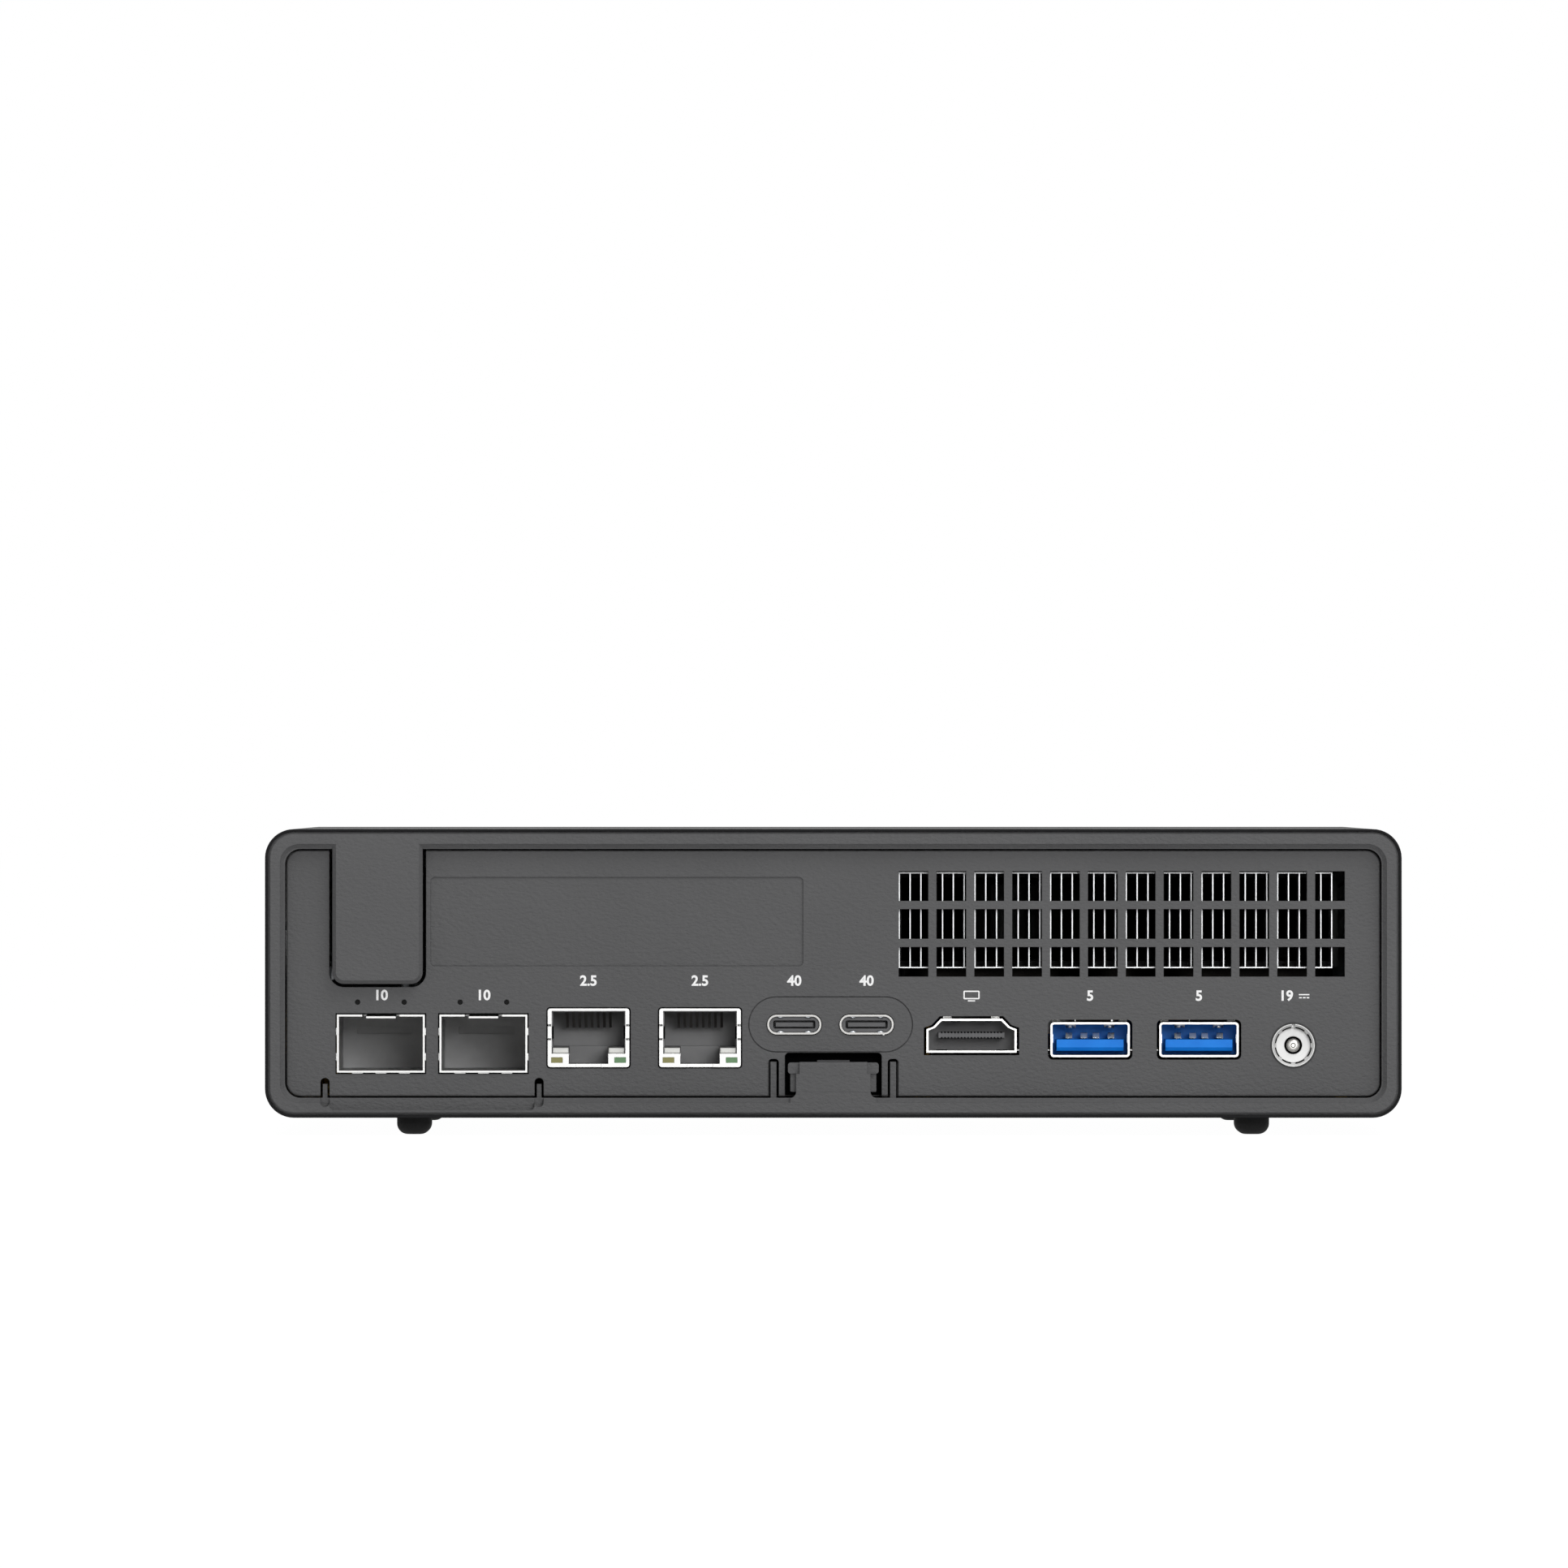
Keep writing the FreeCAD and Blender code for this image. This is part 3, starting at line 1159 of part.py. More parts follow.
parts = {
    "outer_sleeve": outer_sleeve, "rear_frame": rear_frame, "rubber_feet": rubber_feet,
    "glide_strips": glide_strips, "release_latch": release_latch,
    "tray": tray, "io_panel": io_panel, "slot_cover": slot_cover, "front_fascia": front_fascia,
    "front_grille": front_grille, "mainboard": mainboard, "board_standoffs": board_standoffs,
    "board_screws": board_screws, "panel_screws": panel_screws,
    "sfp_cage_1": lambda: sfp_cage(sfp_centres[0]), "sfp_cage_2": lambda: sfp_cage(sfp_centres[1]),
    "sfp_connectors": sfp_connectors, "sfp_light_pipes": sfp_light_pipes,
    "rj45_shell_1": lambda: rj45_shell(rj45_centres[0]), "rj45_shell_2": lambda: rj45_shell(rj45_centres[1]),
    "rj45_housing_1": lambda: rj45_housing(rj45_centres[0]),
    "rj45_housing_2": lambda: rj45_housing(rj45_centres[1]), "rj45_contacts": rj45_contacts,
    "rj45_led_amber": lambda: rj45_lamps(-1), "rj45_led_green": lambda: rj45_lamps(1),
    "usb_c_shell_1": lambda: usb_c_shell(usb_c_centres[0]),
    "usb_c_shell_2": lambda: usb_c_shell(usb_c_centres[1]),
    "usb_c_tongues": usb_c_tongues, "hdmi_shell": hdmi_shell, "hdmi_tongue": hdmi_tongue,
    "usb_a_shell_1": lambda: usb_a_shell(usb_a_centres[0], usb_a_z, port_face, 1, board_z),
    "usb_a_shell_2": lambda: usb_a_shell(usb_a_centres[1], usb_a_z, port_face, 1, board_z),
    "usb_a_tongues": lambda: group([usb_a_tongue(x, usb_a_z, port_face, 1) for x in usb_a_centres]),
    "usb_a_contacts": usb_a_contacts,
    "dc_jack_body": dc_jack_body, "dc_jack_barrel": dc_jack_barrel, "dc_pin": dc_pin,
    "fin_stack": fin_stack, "cpu_package": cpu_package, "cooler_base": cooler_base, "heat_pipes": heat_pipes,
    "blower_housing": blower_housing, "blower_motor": blower_motor, "blower_rotor": blower_rotor,
    "ssd_fan_frame": ssd_fan_frame, "ssd_fan_rotor": ssd_fan_rotor,
    "memory_sockets": memory_sockets, "memory_modules": memory_modules, "expansion_slot": expansion_slot,
    "ssd_sockets": ssd_sockets, "ssd_modules": ssd_modules, "coin_cell": coin_cell,
    "power_inductors": power_inductors,
    "power_button": power_button, "button_switch": button_switch, "power_led": power_led,
    "front_usb_shells": front_usb_shells, "front_usb_tongues": front_usb_tongues, "audio_jack": audio_jack,
}

for name, make in parts.items():
    shape = make()
    shape.exportStep(f"parts/{name}.step")
    box = shape.BoundBox
    print(f"{name:18s} solids {len(shape.Solids):3d} valid {shape.isValid()} volume {shape.Volume:9.1f}"
          f"  x {box.XMin:7.2f} {box.XMax:7.2f}  y {box.YMin:7.2f} {box.YMax:7.2f}"
          f"  z {box.ZMin:6.2f} {box.ZMax:6.2f}")
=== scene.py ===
"""Looks of the mini PC: finishes for every CAD sub-part, and the fine pieces too small or thin for CAD.

The pieces are worked out in millimetres and become meshes in metres, in the frame of the CAD model. The
connector face looks along -Y."""
import math

import bmesh
import bpy
import numpy as np
from mathutils import Matrix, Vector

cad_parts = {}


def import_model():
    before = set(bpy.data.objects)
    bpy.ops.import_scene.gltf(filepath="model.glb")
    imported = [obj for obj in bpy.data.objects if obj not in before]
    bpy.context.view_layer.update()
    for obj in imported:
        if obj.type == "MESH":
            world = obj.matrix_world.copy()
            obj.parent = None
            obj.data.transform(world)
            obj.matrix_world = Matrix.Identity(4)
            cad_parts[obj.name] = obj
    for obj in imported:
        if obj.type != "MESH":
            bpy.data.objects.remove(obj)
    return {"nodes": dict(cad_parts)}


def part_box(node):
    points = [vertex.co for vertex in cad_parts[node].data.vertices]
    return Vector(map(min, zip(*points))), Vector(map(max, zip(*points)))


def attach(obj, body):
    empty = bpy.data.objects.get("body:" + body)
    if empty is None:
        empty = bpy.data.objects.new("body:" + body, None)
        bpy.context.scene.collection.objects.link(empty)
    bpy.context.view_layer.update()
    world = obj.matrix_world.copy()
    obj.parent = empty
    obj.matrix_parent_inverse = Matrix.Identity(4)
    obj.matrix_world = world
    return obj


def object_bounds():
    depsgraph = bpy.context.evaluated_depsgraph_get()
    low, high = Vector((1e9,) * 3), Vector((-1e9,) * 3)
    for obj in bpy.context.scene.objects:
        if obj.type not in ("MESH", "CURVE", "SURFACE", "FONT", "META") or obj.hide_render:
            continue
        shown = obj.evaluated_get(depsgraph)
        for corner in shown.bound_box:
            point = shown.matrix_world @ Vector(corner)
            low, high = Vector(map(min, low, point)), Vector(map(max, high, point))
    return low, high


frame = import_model()
cad_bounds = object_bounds()
MM = 0.001


# -------------------------------- node and colour helpers
def linear(hex_code):
    """An sRGB hex colour as linear RGBA."""
    values = [int(hex_code[i:i + 2], 16) / 255 for i in (1, 3, 5)]
    return [v / 12.92 if v <= 0.04045 else ((v + 0.055) / 1.055) ** 2.4 for v in values] + [1.0]


def add(material, kind, inputs=None, **settings):
    """Adds a node, applies its settings, and fills its inputs with values or with links from sockets."""
    tree = material.node_tree
    made = tree.nodes.new(kind)
    for name, value in settings.items():
        setattr(made, name, value)
    for key, value in (inputs or {}).items():
        if isinstance(value, bpy.types.NodeSocket):
            tree.links.new(value, made.inputs[key])
        else:
            made.inputs[key].default_value = value
    return made


def ramp(material, factor, stops):
    """A colour ramp through (position, hex) stops."""
    made = add(material, "ShaderNodeValToRGB", {"Fac": factor})
    line = made.color_ramp.elements
    line[0].position, line[0].color = stops[0][0], linear(stops[0][1])
    line[1].position, line[1].color = stops[-1][0], linear(stops[-1][1])
    for position, code in stops[1:-1]:
        line.new(position).color = linear(code)
    return made.outputs["Color"]


def blank(name):
    """An empty node material with its output and its Object coordinates in metres."""
    material = bpy.data.materials.new(name)
    material.use_nodes = True
    material.node_tree.nodes.clear()
    return material, add(material, "ShaderNodeTexCoord").outputs["Object"]


def finish(material, shader):
    """Joins a shader to the material's output."""
    add(material, "ShaderNodeOutputMaterial", {"Surface": shader.outputs[0]})
    return material


# -------------------------------- materials
def speckle(material, coords, grain_mm, detail=2.0):
    """Fine noise whose lumps are about one grain size across."""
    return add(material, "ShaderNodeTexNoise", {"Vector": coords, "Scale": 1 / (grain_mm * MM),
                                                "Detail": detail, "Roughness": 0.55}).outputs["Fac"]


def shader(material, colour, roughness, metallic=0.0, normal=None, **sockets):
    """A Principled shader; colour is a hex code or a socket."""
    inputs = {"Base Color": linear(colour) if isinstance(colour, str) else colour,
              "Roughness": roughness, "Metallic": metallic}
    if normal is not None:
        inputs["Normal"] = normal
    inputs.update({name.replace("_", " "): value for name, value in sockets.items()})
    return add(material, "ShaderNodeBsdfPrincipled", inputs)


def soft_edges(material, radius_mm):
    """A normal that rounds sharp edges by a small radius, as tooling does."""
    return add(material, "ShaderNodeBevel", {"Radius": radius_mm * MM}, samples=4).outputs["Normal"]


def moulded_abs():
    """Injection-moulded ABS with a spark-eroded, leather-like grain: matt grey, with
    pebbles that lean to one side and catch the light from above."""
    material, coords = blank("moulded_abs_grained")
    leaning = add(material, "ShaderNodeMapping", {"Vector": coords, "Rotation": (0, math.radians(35), 0),
                                                  "Scale": (1.0, 1.0, 1.8)}).outputs["Vector"]
    pebbles = add(material, "ShaderNodeTexVoronoi", {
        "Vector": leaning, "Scale": 1 / (0.8 * MM), "Randomness": 1.0},
                  feature="SMOOTH_F1").outputs["Distance"]
    fine = speckle(material, leaning, 0.4)
    height = add(material, "ShaderNodeMix", {"Factor": 0.45, "A": pebbles, "B": fine}).outputs["Result"]
    normal = add(material, "ShaderNodeBump", {"Strength": 0.7, "Distance": 0.22 * MM, "Height": height,
                                              "Normal": soft_edges(material, 0.16)}).outputs["Normal"]
    cloud = speckle(material, coords, 45.0, 3.0)
    tone = ramp(material, cloud, [(0.3, "#515152"), (0.7, "#575758")])
    return finish(material, shader(material, tone, 0.58, normal=normal, Specular_IOR_Level=0.3))


def powder_coat():
    """Satin black powder coat on aluminium sheet: a faint orange peel about 1 mm across."""
    material, coords = blank("black_powder_coat")
    peel = speckle(material, coords, 0.9)
    normal = add(material, "ShaderNodeBump", {"Strength": 0.25, "Distance": 0.05 * MM, "Height": peel,
                                              "Normal": soft_edges(material, 0.1)}).outputs["Normal"]
    tone = ramp(material, speckle(material, coords, 30.0), [(0.3, "#08080a"), (0.7, "#0e0e10")])
    return finish(material, shader(material, tone, 0.5, normal=normal, Specular_IOR_Level=0.12))


def moulded_rubber():
    """Moulded rubber: near black, matt, with a dusty bloom in patches."""
    material, coords = blank("black_rubber")
    tone = ramp(material, speckle(material, coords, 3.0), [(0.35, "#0a0a0b"), (0.75, "#131314")])
    normal = add(material, "ShaderNodeBump", {"Strength": 0.3, "Distance": 0.05 * MM,
                                              "Height": speckle(material, coords, 0.4)}).outputs["Normal"]
    return finish(material, shader(material, tone, 0.72, normal=normal))


def sheet_metal(name, dark, light, roughness, brush_mm=(0.08, 12.0), edge_mm=0.05):
    """Rolled and plated sheet: fine streaks along the rolling direction, and a cloudy plating."""
    material, coords = blank(name)
    stretched = add(material, "ShaderNodeMapping", {"Vector": coords, "Scale": (
        1 / (brush_mm[0] * MM), 1 / (brush_mm[1] * MM), 1 / (brush_mm[0] * MM))}).outputs["Vector"]
    streaks = add(material, "ShaderNodeTexNoise", {
        "Vector": stretched, "Scale": 1.0, "Detail": 3.0}).outputs["Fac"]
    tone = ramp(material, streaks, [(0.3, dark), (0.7, light)])
    rough = add(material, "ShaderNodeMapRange", {
        "Value": speckle(material, coords, 2.5), "To Min": roughness - 0.06,
        "To Max": roughness + 0.08}).outputs["Result"]
    return finish(material, shader(material, tone, rough, 1.0, soft_edges(material, edge_mm)))


def spangled_zinc():
    """Hot-dipped steel: pale blue-grey crystals a few millimetres wide, each turned a little in tone."""
    material, coords = blank("spangled_zinc_steel")
    crystals = add(material, "ShaderNodeTexVoronoi", {
        "Vector": coords, "Scale": 1 / (4.0 * MM)}).outputs["Color"]
    tone = ramp(material, crystals, [(0.1, "#8d9195"), (0.9, "#b4b8bb")])
    rough = add(material, "ShaderNodeMapRange", {"Value": speckle(material, coords, 1.0), "To Min": 0.3,
                                                 "To Max": 0.48}).outputs["Result"]
    return finish(material, shader(material, tone, rough, 0.9, soft_edges(material, 0.15)))


def plain_plastic(name, dark, light, roughness, grain_mm=0.3, strength=0.12, edge_mm=0.08, **sockets):
    """Moulded plastic with a fine mould texture and a slightly uneven tone."""
    material, coords = blank(name)
    tone = ramp(material, speckle(material, coords, 4.0), [(0.3, dark), (0.7, light)])
    normal = add(material, "ShaderNodeBump", {"Strength": strength, "Distance": 0.04 * MM,
                                              "Height": speckle(material, coords, grain_mm),
                                              "Normal": soft_edges(material, edge_mm)}).outputs["Normal"]
    return finish(material, shader(material, tone, roughness, normal=normal, **sockets))


def solder_mask(name, base, trace):
    """Solder mask over copper: tracks just show as paler lines, along cell borders and brick joints."""
    material, coords = blank(name)
    cells = add(material, "ShaderNodeTexVoronoi", {
        "Vector": coords, "Scale": 1 / (3.4 * MM), "Randomness": 0.85},
        feature="DISTANCE_TO_EDGE").outputs["Distance"]
    bricks = add(material, "ShaderNodeTexBrick", {
        "Vector": coords, "Scale": 1 / (5.5 * MM), "Mortar Size": 0.035, "Color1": (0, 0, 0, 1),
        "Color2": (0, 0, 0, 1), "Mortar": (1, 1, 1, 1)}).outputs["Color"]
    thin = add(material, "ShaderNodeMath", {0: cells, 1: 0.055}, operation="LESS_THAN").outputs["Value"]
    lines = add(material, "ShaderNodeMath", {0: thin, 1: bricks}, operation="MAXIMUM").outputs["Value"]
    tone = ramp(material, lines, [(0.0, base), (1.0, trace)])
    normal = add(material, "ShaderNodeBump", {
        "Strength": 0.3, "Distance": 0.04 * MM, "Height": lines}).outputs["Normal"]
    return finish(material, shader(material, tone, 0.42, normal=normal, Specular_IOR_Level=0.2))


def smoked_acrylic():
    """Smoked acrylic light pipe: polished and almost black while it isn't lit."""
    material, coords = blank("smoked_acrylic")
    tone = ramp(material, speckle(material, coords, 1.5), [(0.3, "#020203"), (0.7, "#060607")])
    return finish(material, shader(material, tone, 0.3, Specular_IOR_Level=0.1))


def polished_nickel():
    """Polished nickel plate: bright, with a faint mottle."""
    material, coords = blank("polished_nickel")
    mottle = add(material, "ShaderNodeTexNoise", {
        "Vector": coords, "Scale": 1 / (0.6 * MM), "Detail": 1.0}).outputs["Fac"]
    tone = ramp(material, mottle, [(0.3, "#d6d5d2"), (0.7, "#efeeec")])
    return finish(material, shader(material, tone, 0.16, 1.0, soft_edges(material, 0.06)))


def screen_print():
    """White screen-printed ink: chalky, slightly thin at its edges."""
    material, coords = blank("white_screen_print")
    tone = ramp(material, speckle(material, coords, 0.25), [(0.2, "#ececec"), (0.6, "#ffffff")])
    return finish(material, shader(material, tone, 0.6))


def backdrop_white():
    """White studio paper: pure white to the camera apart from a little of the object's shadow."""
    material, coords = blank("studio_paper")
    paper = ramp(material, speckle(material, coords, 60.0), [(0.3, "#e9e9e9"), (0.7, "#ededed")])
    lit = add(material, "ShaderNodeBsdfDiffuse", {"Color": paper})
    glow = add(material, "ShaderNodeEmission", {"Color": (1, 1, 1, 1), "Strength": 1.03})
    path = add(material, "ShaderNodeLightPath")
    seen = add(material, "ShaderNodeMath", {0: path.outputs["Is Camera Ray"], 1: 0.96}, operation="MULTIPLY")
    mirrored = add(material, "ShaderNodeMath", {
        0: path.outputs["Is Glossy Ray"], 1: path.outputs["Is Transmission Ray"]}, operation="MAXIMUM")
    part = add(material, "ShaderNodeMath", {0: mirrored.outputs[0], 1: 0.5}, operation="MULTIPLY")
    share = add(material, "ShaderNodeMath", {0: seen.outputs[0], 1: part.outputs[0]}, operation="MAXIMUM")
    mixed = add(material, "ShaderNodeMixShader", {
        0: share.outputs[0], 1: lit.outputs[0], 2: glow.outputs[0]})
    return finish(material, mixed)


abs_grey = moulded_abs()
black_coat = powder_coat()
rubber = moulded_rubber()
zinc = spangled_zinc()
black_plastic = plain_plastic("black_plastic", "#121213", "#1b1b1c", 0.5)
dark_insert = plain_plastic("dark_grey_plastic", "#3c3c3d", "#464647", 0.55)
jack_insert = plain_plastic("jack_insert_grey", "#858586", "#909091", 0.5)
port_insert = plain_plastic("port_insert_grey", "#505052", "#5a5a5c", 0.5)
# Near-black, almost unglossy plastic that is painted shade: it is laid in slots, hollows and gaps, and on
# parts, where only shade lies.
painted_shadow_black = plain_plastic("slot_shadow_black", "#020203", "#050506", 0.8, Specular_IOR_Level=0.05)
module_grey = plain_plastic("module_socket_grey", "#c6c6c7", "#d2d2d3", 0.6)
blue_plastic = plain_plastic("blue_plastic", "#0078de", "#0a84ea", 0.38, strength=0.05, edge_mm=0.18,
                             Specular_IOR_Level=0.2)
white_nylon = plain_plastic("white_nylon", "#dcdcd8", "#e6e6e2", 0.5)
tin_plate = sheet_metal("bright_tin_plate", "#b9b9b8", "#cacac9", 0.38)
shell_plate = sheet_metal("nickel_plated_shell", "#cfcecc", "#e2e1df", 0.3)
drawn_steel = sheet_metal("drawn_steel_shell", "#908f8d", "#a9a8a6", 0.34)
spring_plate = sheet_metal("plated_spring_strip", "#a8a6a2", "#d0cecb", 0.3, (0.05, 2.0), 0.08)
gold_plate = sheet_metal("gold_flashed_contact", "#8a7a55", "#b49f6c", 0.3, (0.05, 2.0))
aluminium = sheet_metal("bare_aluminium_fin", "#b2b3b4", "#c8c9ca", 0.36, (0.1, 6.0), 0.04)
copper = sheet_metal("bare_copper", "#a8603f", "#c97f58", 0.33, (0.15, 20.0), 0.2)
blackened = sheet_metal("blackened_copper", "#1b1a19", "#262422", 0.5, (0.15, 20.0), 0.2)
wire_grey = sheet_metal("dull_contact_wire", "#55534f", "#74716b", 0.4, (0.05, 2.0))
pale_spring = sheet_metal("polished_spring_steel", "#d5dbe2", "#f2f5f8", 0.22, (0.05, 2.0), 0.05)
can_metal = sheet_metal("polymer_capacitor_can", "#85878a", "#a0a2a4", 0.35, (0.1, 3.0), 0.1)
steel = sheet_metal("plated_screw_steel", "#9fa1a3", "#c4c6c8", 0.32, (0.1, 3.0), 0.1)
brass = sheet_metal("turned_brass", "#a98443", "#cba763", 0.3, (0.1, 3.0), 0.1)
nickel = polished_nickel()
satin_nickel = plain_plastic("satin_nickel_plate", "#d2d2d1", "#dcdcdb", 0.4, 0.3, 0.05, Metallic=0.3)
board_mask = solder_mask("black_solder_mask", "#0b100f", "#24332e")
module_mask = solder_mask("green_solder_mask", "#0c2f20", "#1f5239")
acrylic = smoked_acrylic()
amber_lamp = plain_plastic("amber_diffuser", "#7b783f", "#86824a", 0.45)
green_lamp = plain_plastic("green_diffuser", "#567f54", "#60895d", 0.45)
ink = screen_print()
chip_resin = plain_plastic("moulded_chip_resin", "#17181a", "#1f2022", 0.55, 0.15, 0.2)
coil_resin = plain_plastic("pressed_iron_coil", "#3a3b3d", "#48494b", 0.6, 0.2, 0.3)
ceramic = plain_plastic("capacitor_ceramic", "#8a7a62", "#a3927a", 0.5)
black_anodised = plain_plastic("black_anodised_aluminium", "#131417", "#1c1d21", 0.4, 0.2, 0.08)

finishes = {
    abs_grey: ["rear_frame", "io_panel", "slot_cover", "release_latch", "front_fascia"],
    black_coat: ["outer_sleeve", "front_grille"],
    rubber: ["rubber_feet"],
    zinc: ["tray"],
    white_nylon: ["glide_strips"],
    board_mask: ["mainboard"],
    module_mask: ["memory_modules", "ssd_modules"],
    brass: ["board_standoffs"],
    steel: ["board_screws", "panel_screws", "coin_cell"],
    tin_plate: ["sfp_cage_1", "sfp_cage_2", "rj45_shell_1", "rj45_shell_2"],
    module_grey: ["sfp_connectors"],
    acrylic: ["sfp_light_pipes", "power_led"],
    jack_insert: ["rj45_housing_1", "rj45_housing_2"],
    amber_lamp: ["rj45_led_amber"],
    green_lamp: ["rj45_led_green"],
    drawn_steel: ["usb_c_shell_1", "usb_c_shell_2"],
    shell_plate: ["hdmi_shell", "usb_a_shell_1", "usb_a_shell_2", "front_usb_shells"],
    port_insert: ["usb_c_tongues", "hdmi_tongue"],
    dark_insert: ["power_inductors", "blower_housing"],
    blue_plastic: ["usb_a_tongues", "front_usb_tongues"],
    spring_plate: ["dc_pin"],
    pale_spring: ["usb_a_contacts"],
    wire_grey: ["rj45_contacts"],
    satin_nickel: ["dc_jack_barrel"],
    aluminium: ["fin_stack"],
    copper: ["cooler_base"],
    blackened: ["heat_pipes"],
    black_plastic: ["dc_jack_body", "cpu_package", "blower_motor", "blower_rotor", "ssd_fan_frame",
                    "ssd_fan_rotor", "memory_sockets", "expansion_slot", "ssd_sockets", "power_button",
                    "button_switch", "audio_jack"],
}
for material, nodes in finishes.items():
    for name in nodes:
        for slot in frame["nodes"][name].material_slots:
            slot.material = material


# -------------------------------- surfaces for the small pieces, in millimetres
def skin(rings, loop=False):
    """Quads over a stack of closed outlines: outline i's point j joins outline i + 1's point j. A loop
    closes the last outline on the first; otherwise the two ends are capped."""
    rows, points = rings.shape[:2]
    i, j = np.meshgrid(np.arange(rows if loop else rows - 1), np.arange(points), indexing="ij")
    up, on = (i + 1) % rows * points, (j + 1) % points
    quads = np.stack([i * points + j, i * points + on, up + on, up + j], -1).reshape(-1, 4).tolist()
    if not loop:
        quads += [list(range(points))[::-1], list(range((rows - 1) * points, rows * points))]
    return rings.reshape(-1, 3), quads


def copies(form, places):
    """One surface repeated at each place: its points are shifted and its face numbers stepped."""
    points, faces = form
    places = np.asarray(places, float).reshape(-1, 3)
    steps = np.arange(len(places)) * len(points)
    return ((points[None] + places[:, None]).reshape(-1, 3),
            [[v + step for v in face] for step in steps.tolist() for face in faces])


def together(*forms):
    """Several surfaces as one."""
    starts = np.cumsum([0] + [len(points) for points, faces in forms[:-1]])
    return (np.concatenate([points for points, faces in forms]),
            [[v + start for v in face] for start, (points, faces) in zip(starts.tolist(), forms)
             for face in faces])


def piece(name, form, material, body, smooth=False):
    """Puts a surface into a mesh in metres, turns its faces outwards and lets it ride on a body."""
    points, faces = form
    mesh = bpy.data.meshes.new(name)
    mesh.from_pydata((points * MM).tolist(), [], faces)
    clean = bmesh.new()
    clean.from_mesh(mesh)
    bmesh.ops.recalc_face_normals(clean, faces=clean.faces)
    clean.to_mesh(mesh)
    clean.free()
    mesh.polygons.foreach_set("use_smooth", np.full(len(mesh.polygons), smooth))
    mesh.materials.append(material)
    made = bpy.data.objects.new(name, mesh)
    bpy.context.scene.collection.objects.link(made)
    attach(made, body)
    return made


def blocks(centres, sizes, bevel=0.0, face="+Z"):
    """Boxes whose one face is drawn in by a bevel: three outlines of four corners, from the
    far face over the shoulder to the drawn-in face, so each box has 10 faces."""
    centres, sizes = np.atleast_2d(centres).astype(float), np.atleast_2d(sizes).astype(float)
    sizes = np.broadcast_to(sizes, centres.shape)
    axis, sign = "XYZ".index(face[1]), 1 if face[0] == "+" else -1
    a, b = [k for k in range(3) if k != axis]
    corner = np.array([[-1, -1], [1, -1], [1, 1], [-1, 1]]) / 2
    rings = np.zeros((len(centres), 3, 4, 3))
    inset = np.array([0.0, 0.0, bevel])[None, :, None]
    for k, side in ((a, 0), (b, 1)):
        width = sizes[:, None, None, k] - 2 * inset
        rings[..., k] = centres[:, None, None, k] + corner[None, None, :, side] * width
    level = np.stack([-sizes[:, axis] / 2, sizes[:, axis] / 2 - bevel, sizes[:, axis] / 2], -1)
    rings[..., axis] = centres[:, None, None, axis] + sign * level[:, :, None]
    return together(*[skin(one) for one in rings])


def turned(profile, centres, axis="Z", segments=32, loop=False):
    """Solids of revolution: each profile point (radius, height) goes once round the axis, at each centre."""
    profile = np.array(profile, float)
    turn = np.linspace(0, 2 * math.pi, segments, endpoint=False)
    across = profile[:, :1] * np.cos(turn), profile[:, :1] * np.sin(turn)
    along = np.broadcast_to(profile[:, 1:], across[0].shape)
    order = {"Z": (across[0], across[1], along), "Y": (across[0], along, across[1])}[axis]
    return copies(skin(np.stack(order, -1), loop), centres)


def oblong(half_x, half_z, radius, steps=5):
    """Outline points (x, z) of a rounded rectangle: a quarter circle at each corner."""
    turn = np.linspace(0, math.pi / 2, steps)
    quarter = np.stack([np.cos(turn), np.sin(turn)], -1) * radius
    corners = []
    for k, (sx, sz) in enumerate(((1, 1), (-1, 1), (-1, -1), (1, -1))):
        arc = quarter if k % 2 == 0 else quarter[::-1]
        corners.append((arc + (half_x - radius, half_z - radius)) * (sx, sz))
    return np.concatenate(corners)


def collar(outer, inner, y0, y1):
    """A ring between two outlines in the XZ plane, from depth y0 to depth y1."""
    rings = [np.insert(outline, 1, y, axis=1)
             for outline, y in ((outer, y0), (inner, y0), (inner, y1), (outer, y1))]
    return skin(np.stack(rings), loop=True)


def leaf(width, length, rise, thickness, steps=9):
    """A bowed spring strip along Y: its height is rise times a half sine wave of the way along it."""
    way = np.linspace(0, 1, steps)
    height = rise * np.sin(math.pi * way)
    x = np.array([-1, 1, 1, -1]) * width / 2
    z = np.array([0, 0, 1, 1]) * thickness
    rings = np.stack([np.broadcast_to(x, (steps, 4)), np.broadcast_to(way[:, None] * length, (steps, 4)),
                      z - height[:, None]], -1)
    return skin(rings)


def flipped(form, level=0.0):
    """A surface mirrored top to bottom about a level."""
    points, faces = form
    return points * (1, 1, -1) + (0, 0, 2 * level), faces


def arc_bar(radius, start, end, width, y0, y1, steps=28):
    """Part of a ring in the XZ plane: a rectangle carried along a circle between two angles in degrees."""
    turn = np.radians(np.linspace(start, end, steps))
    r = radius + np.array([-1, 1, 1, -1]) * width / 2
    y = np.array([y0, y0, y1, y1])
    rings = np.stack([np.cos(turn)[:, None] * r, np.broadcast_to(y, (steps, 4)),
                      np.sin(turn)[:, None] * r], -1)
    return skin(rings)


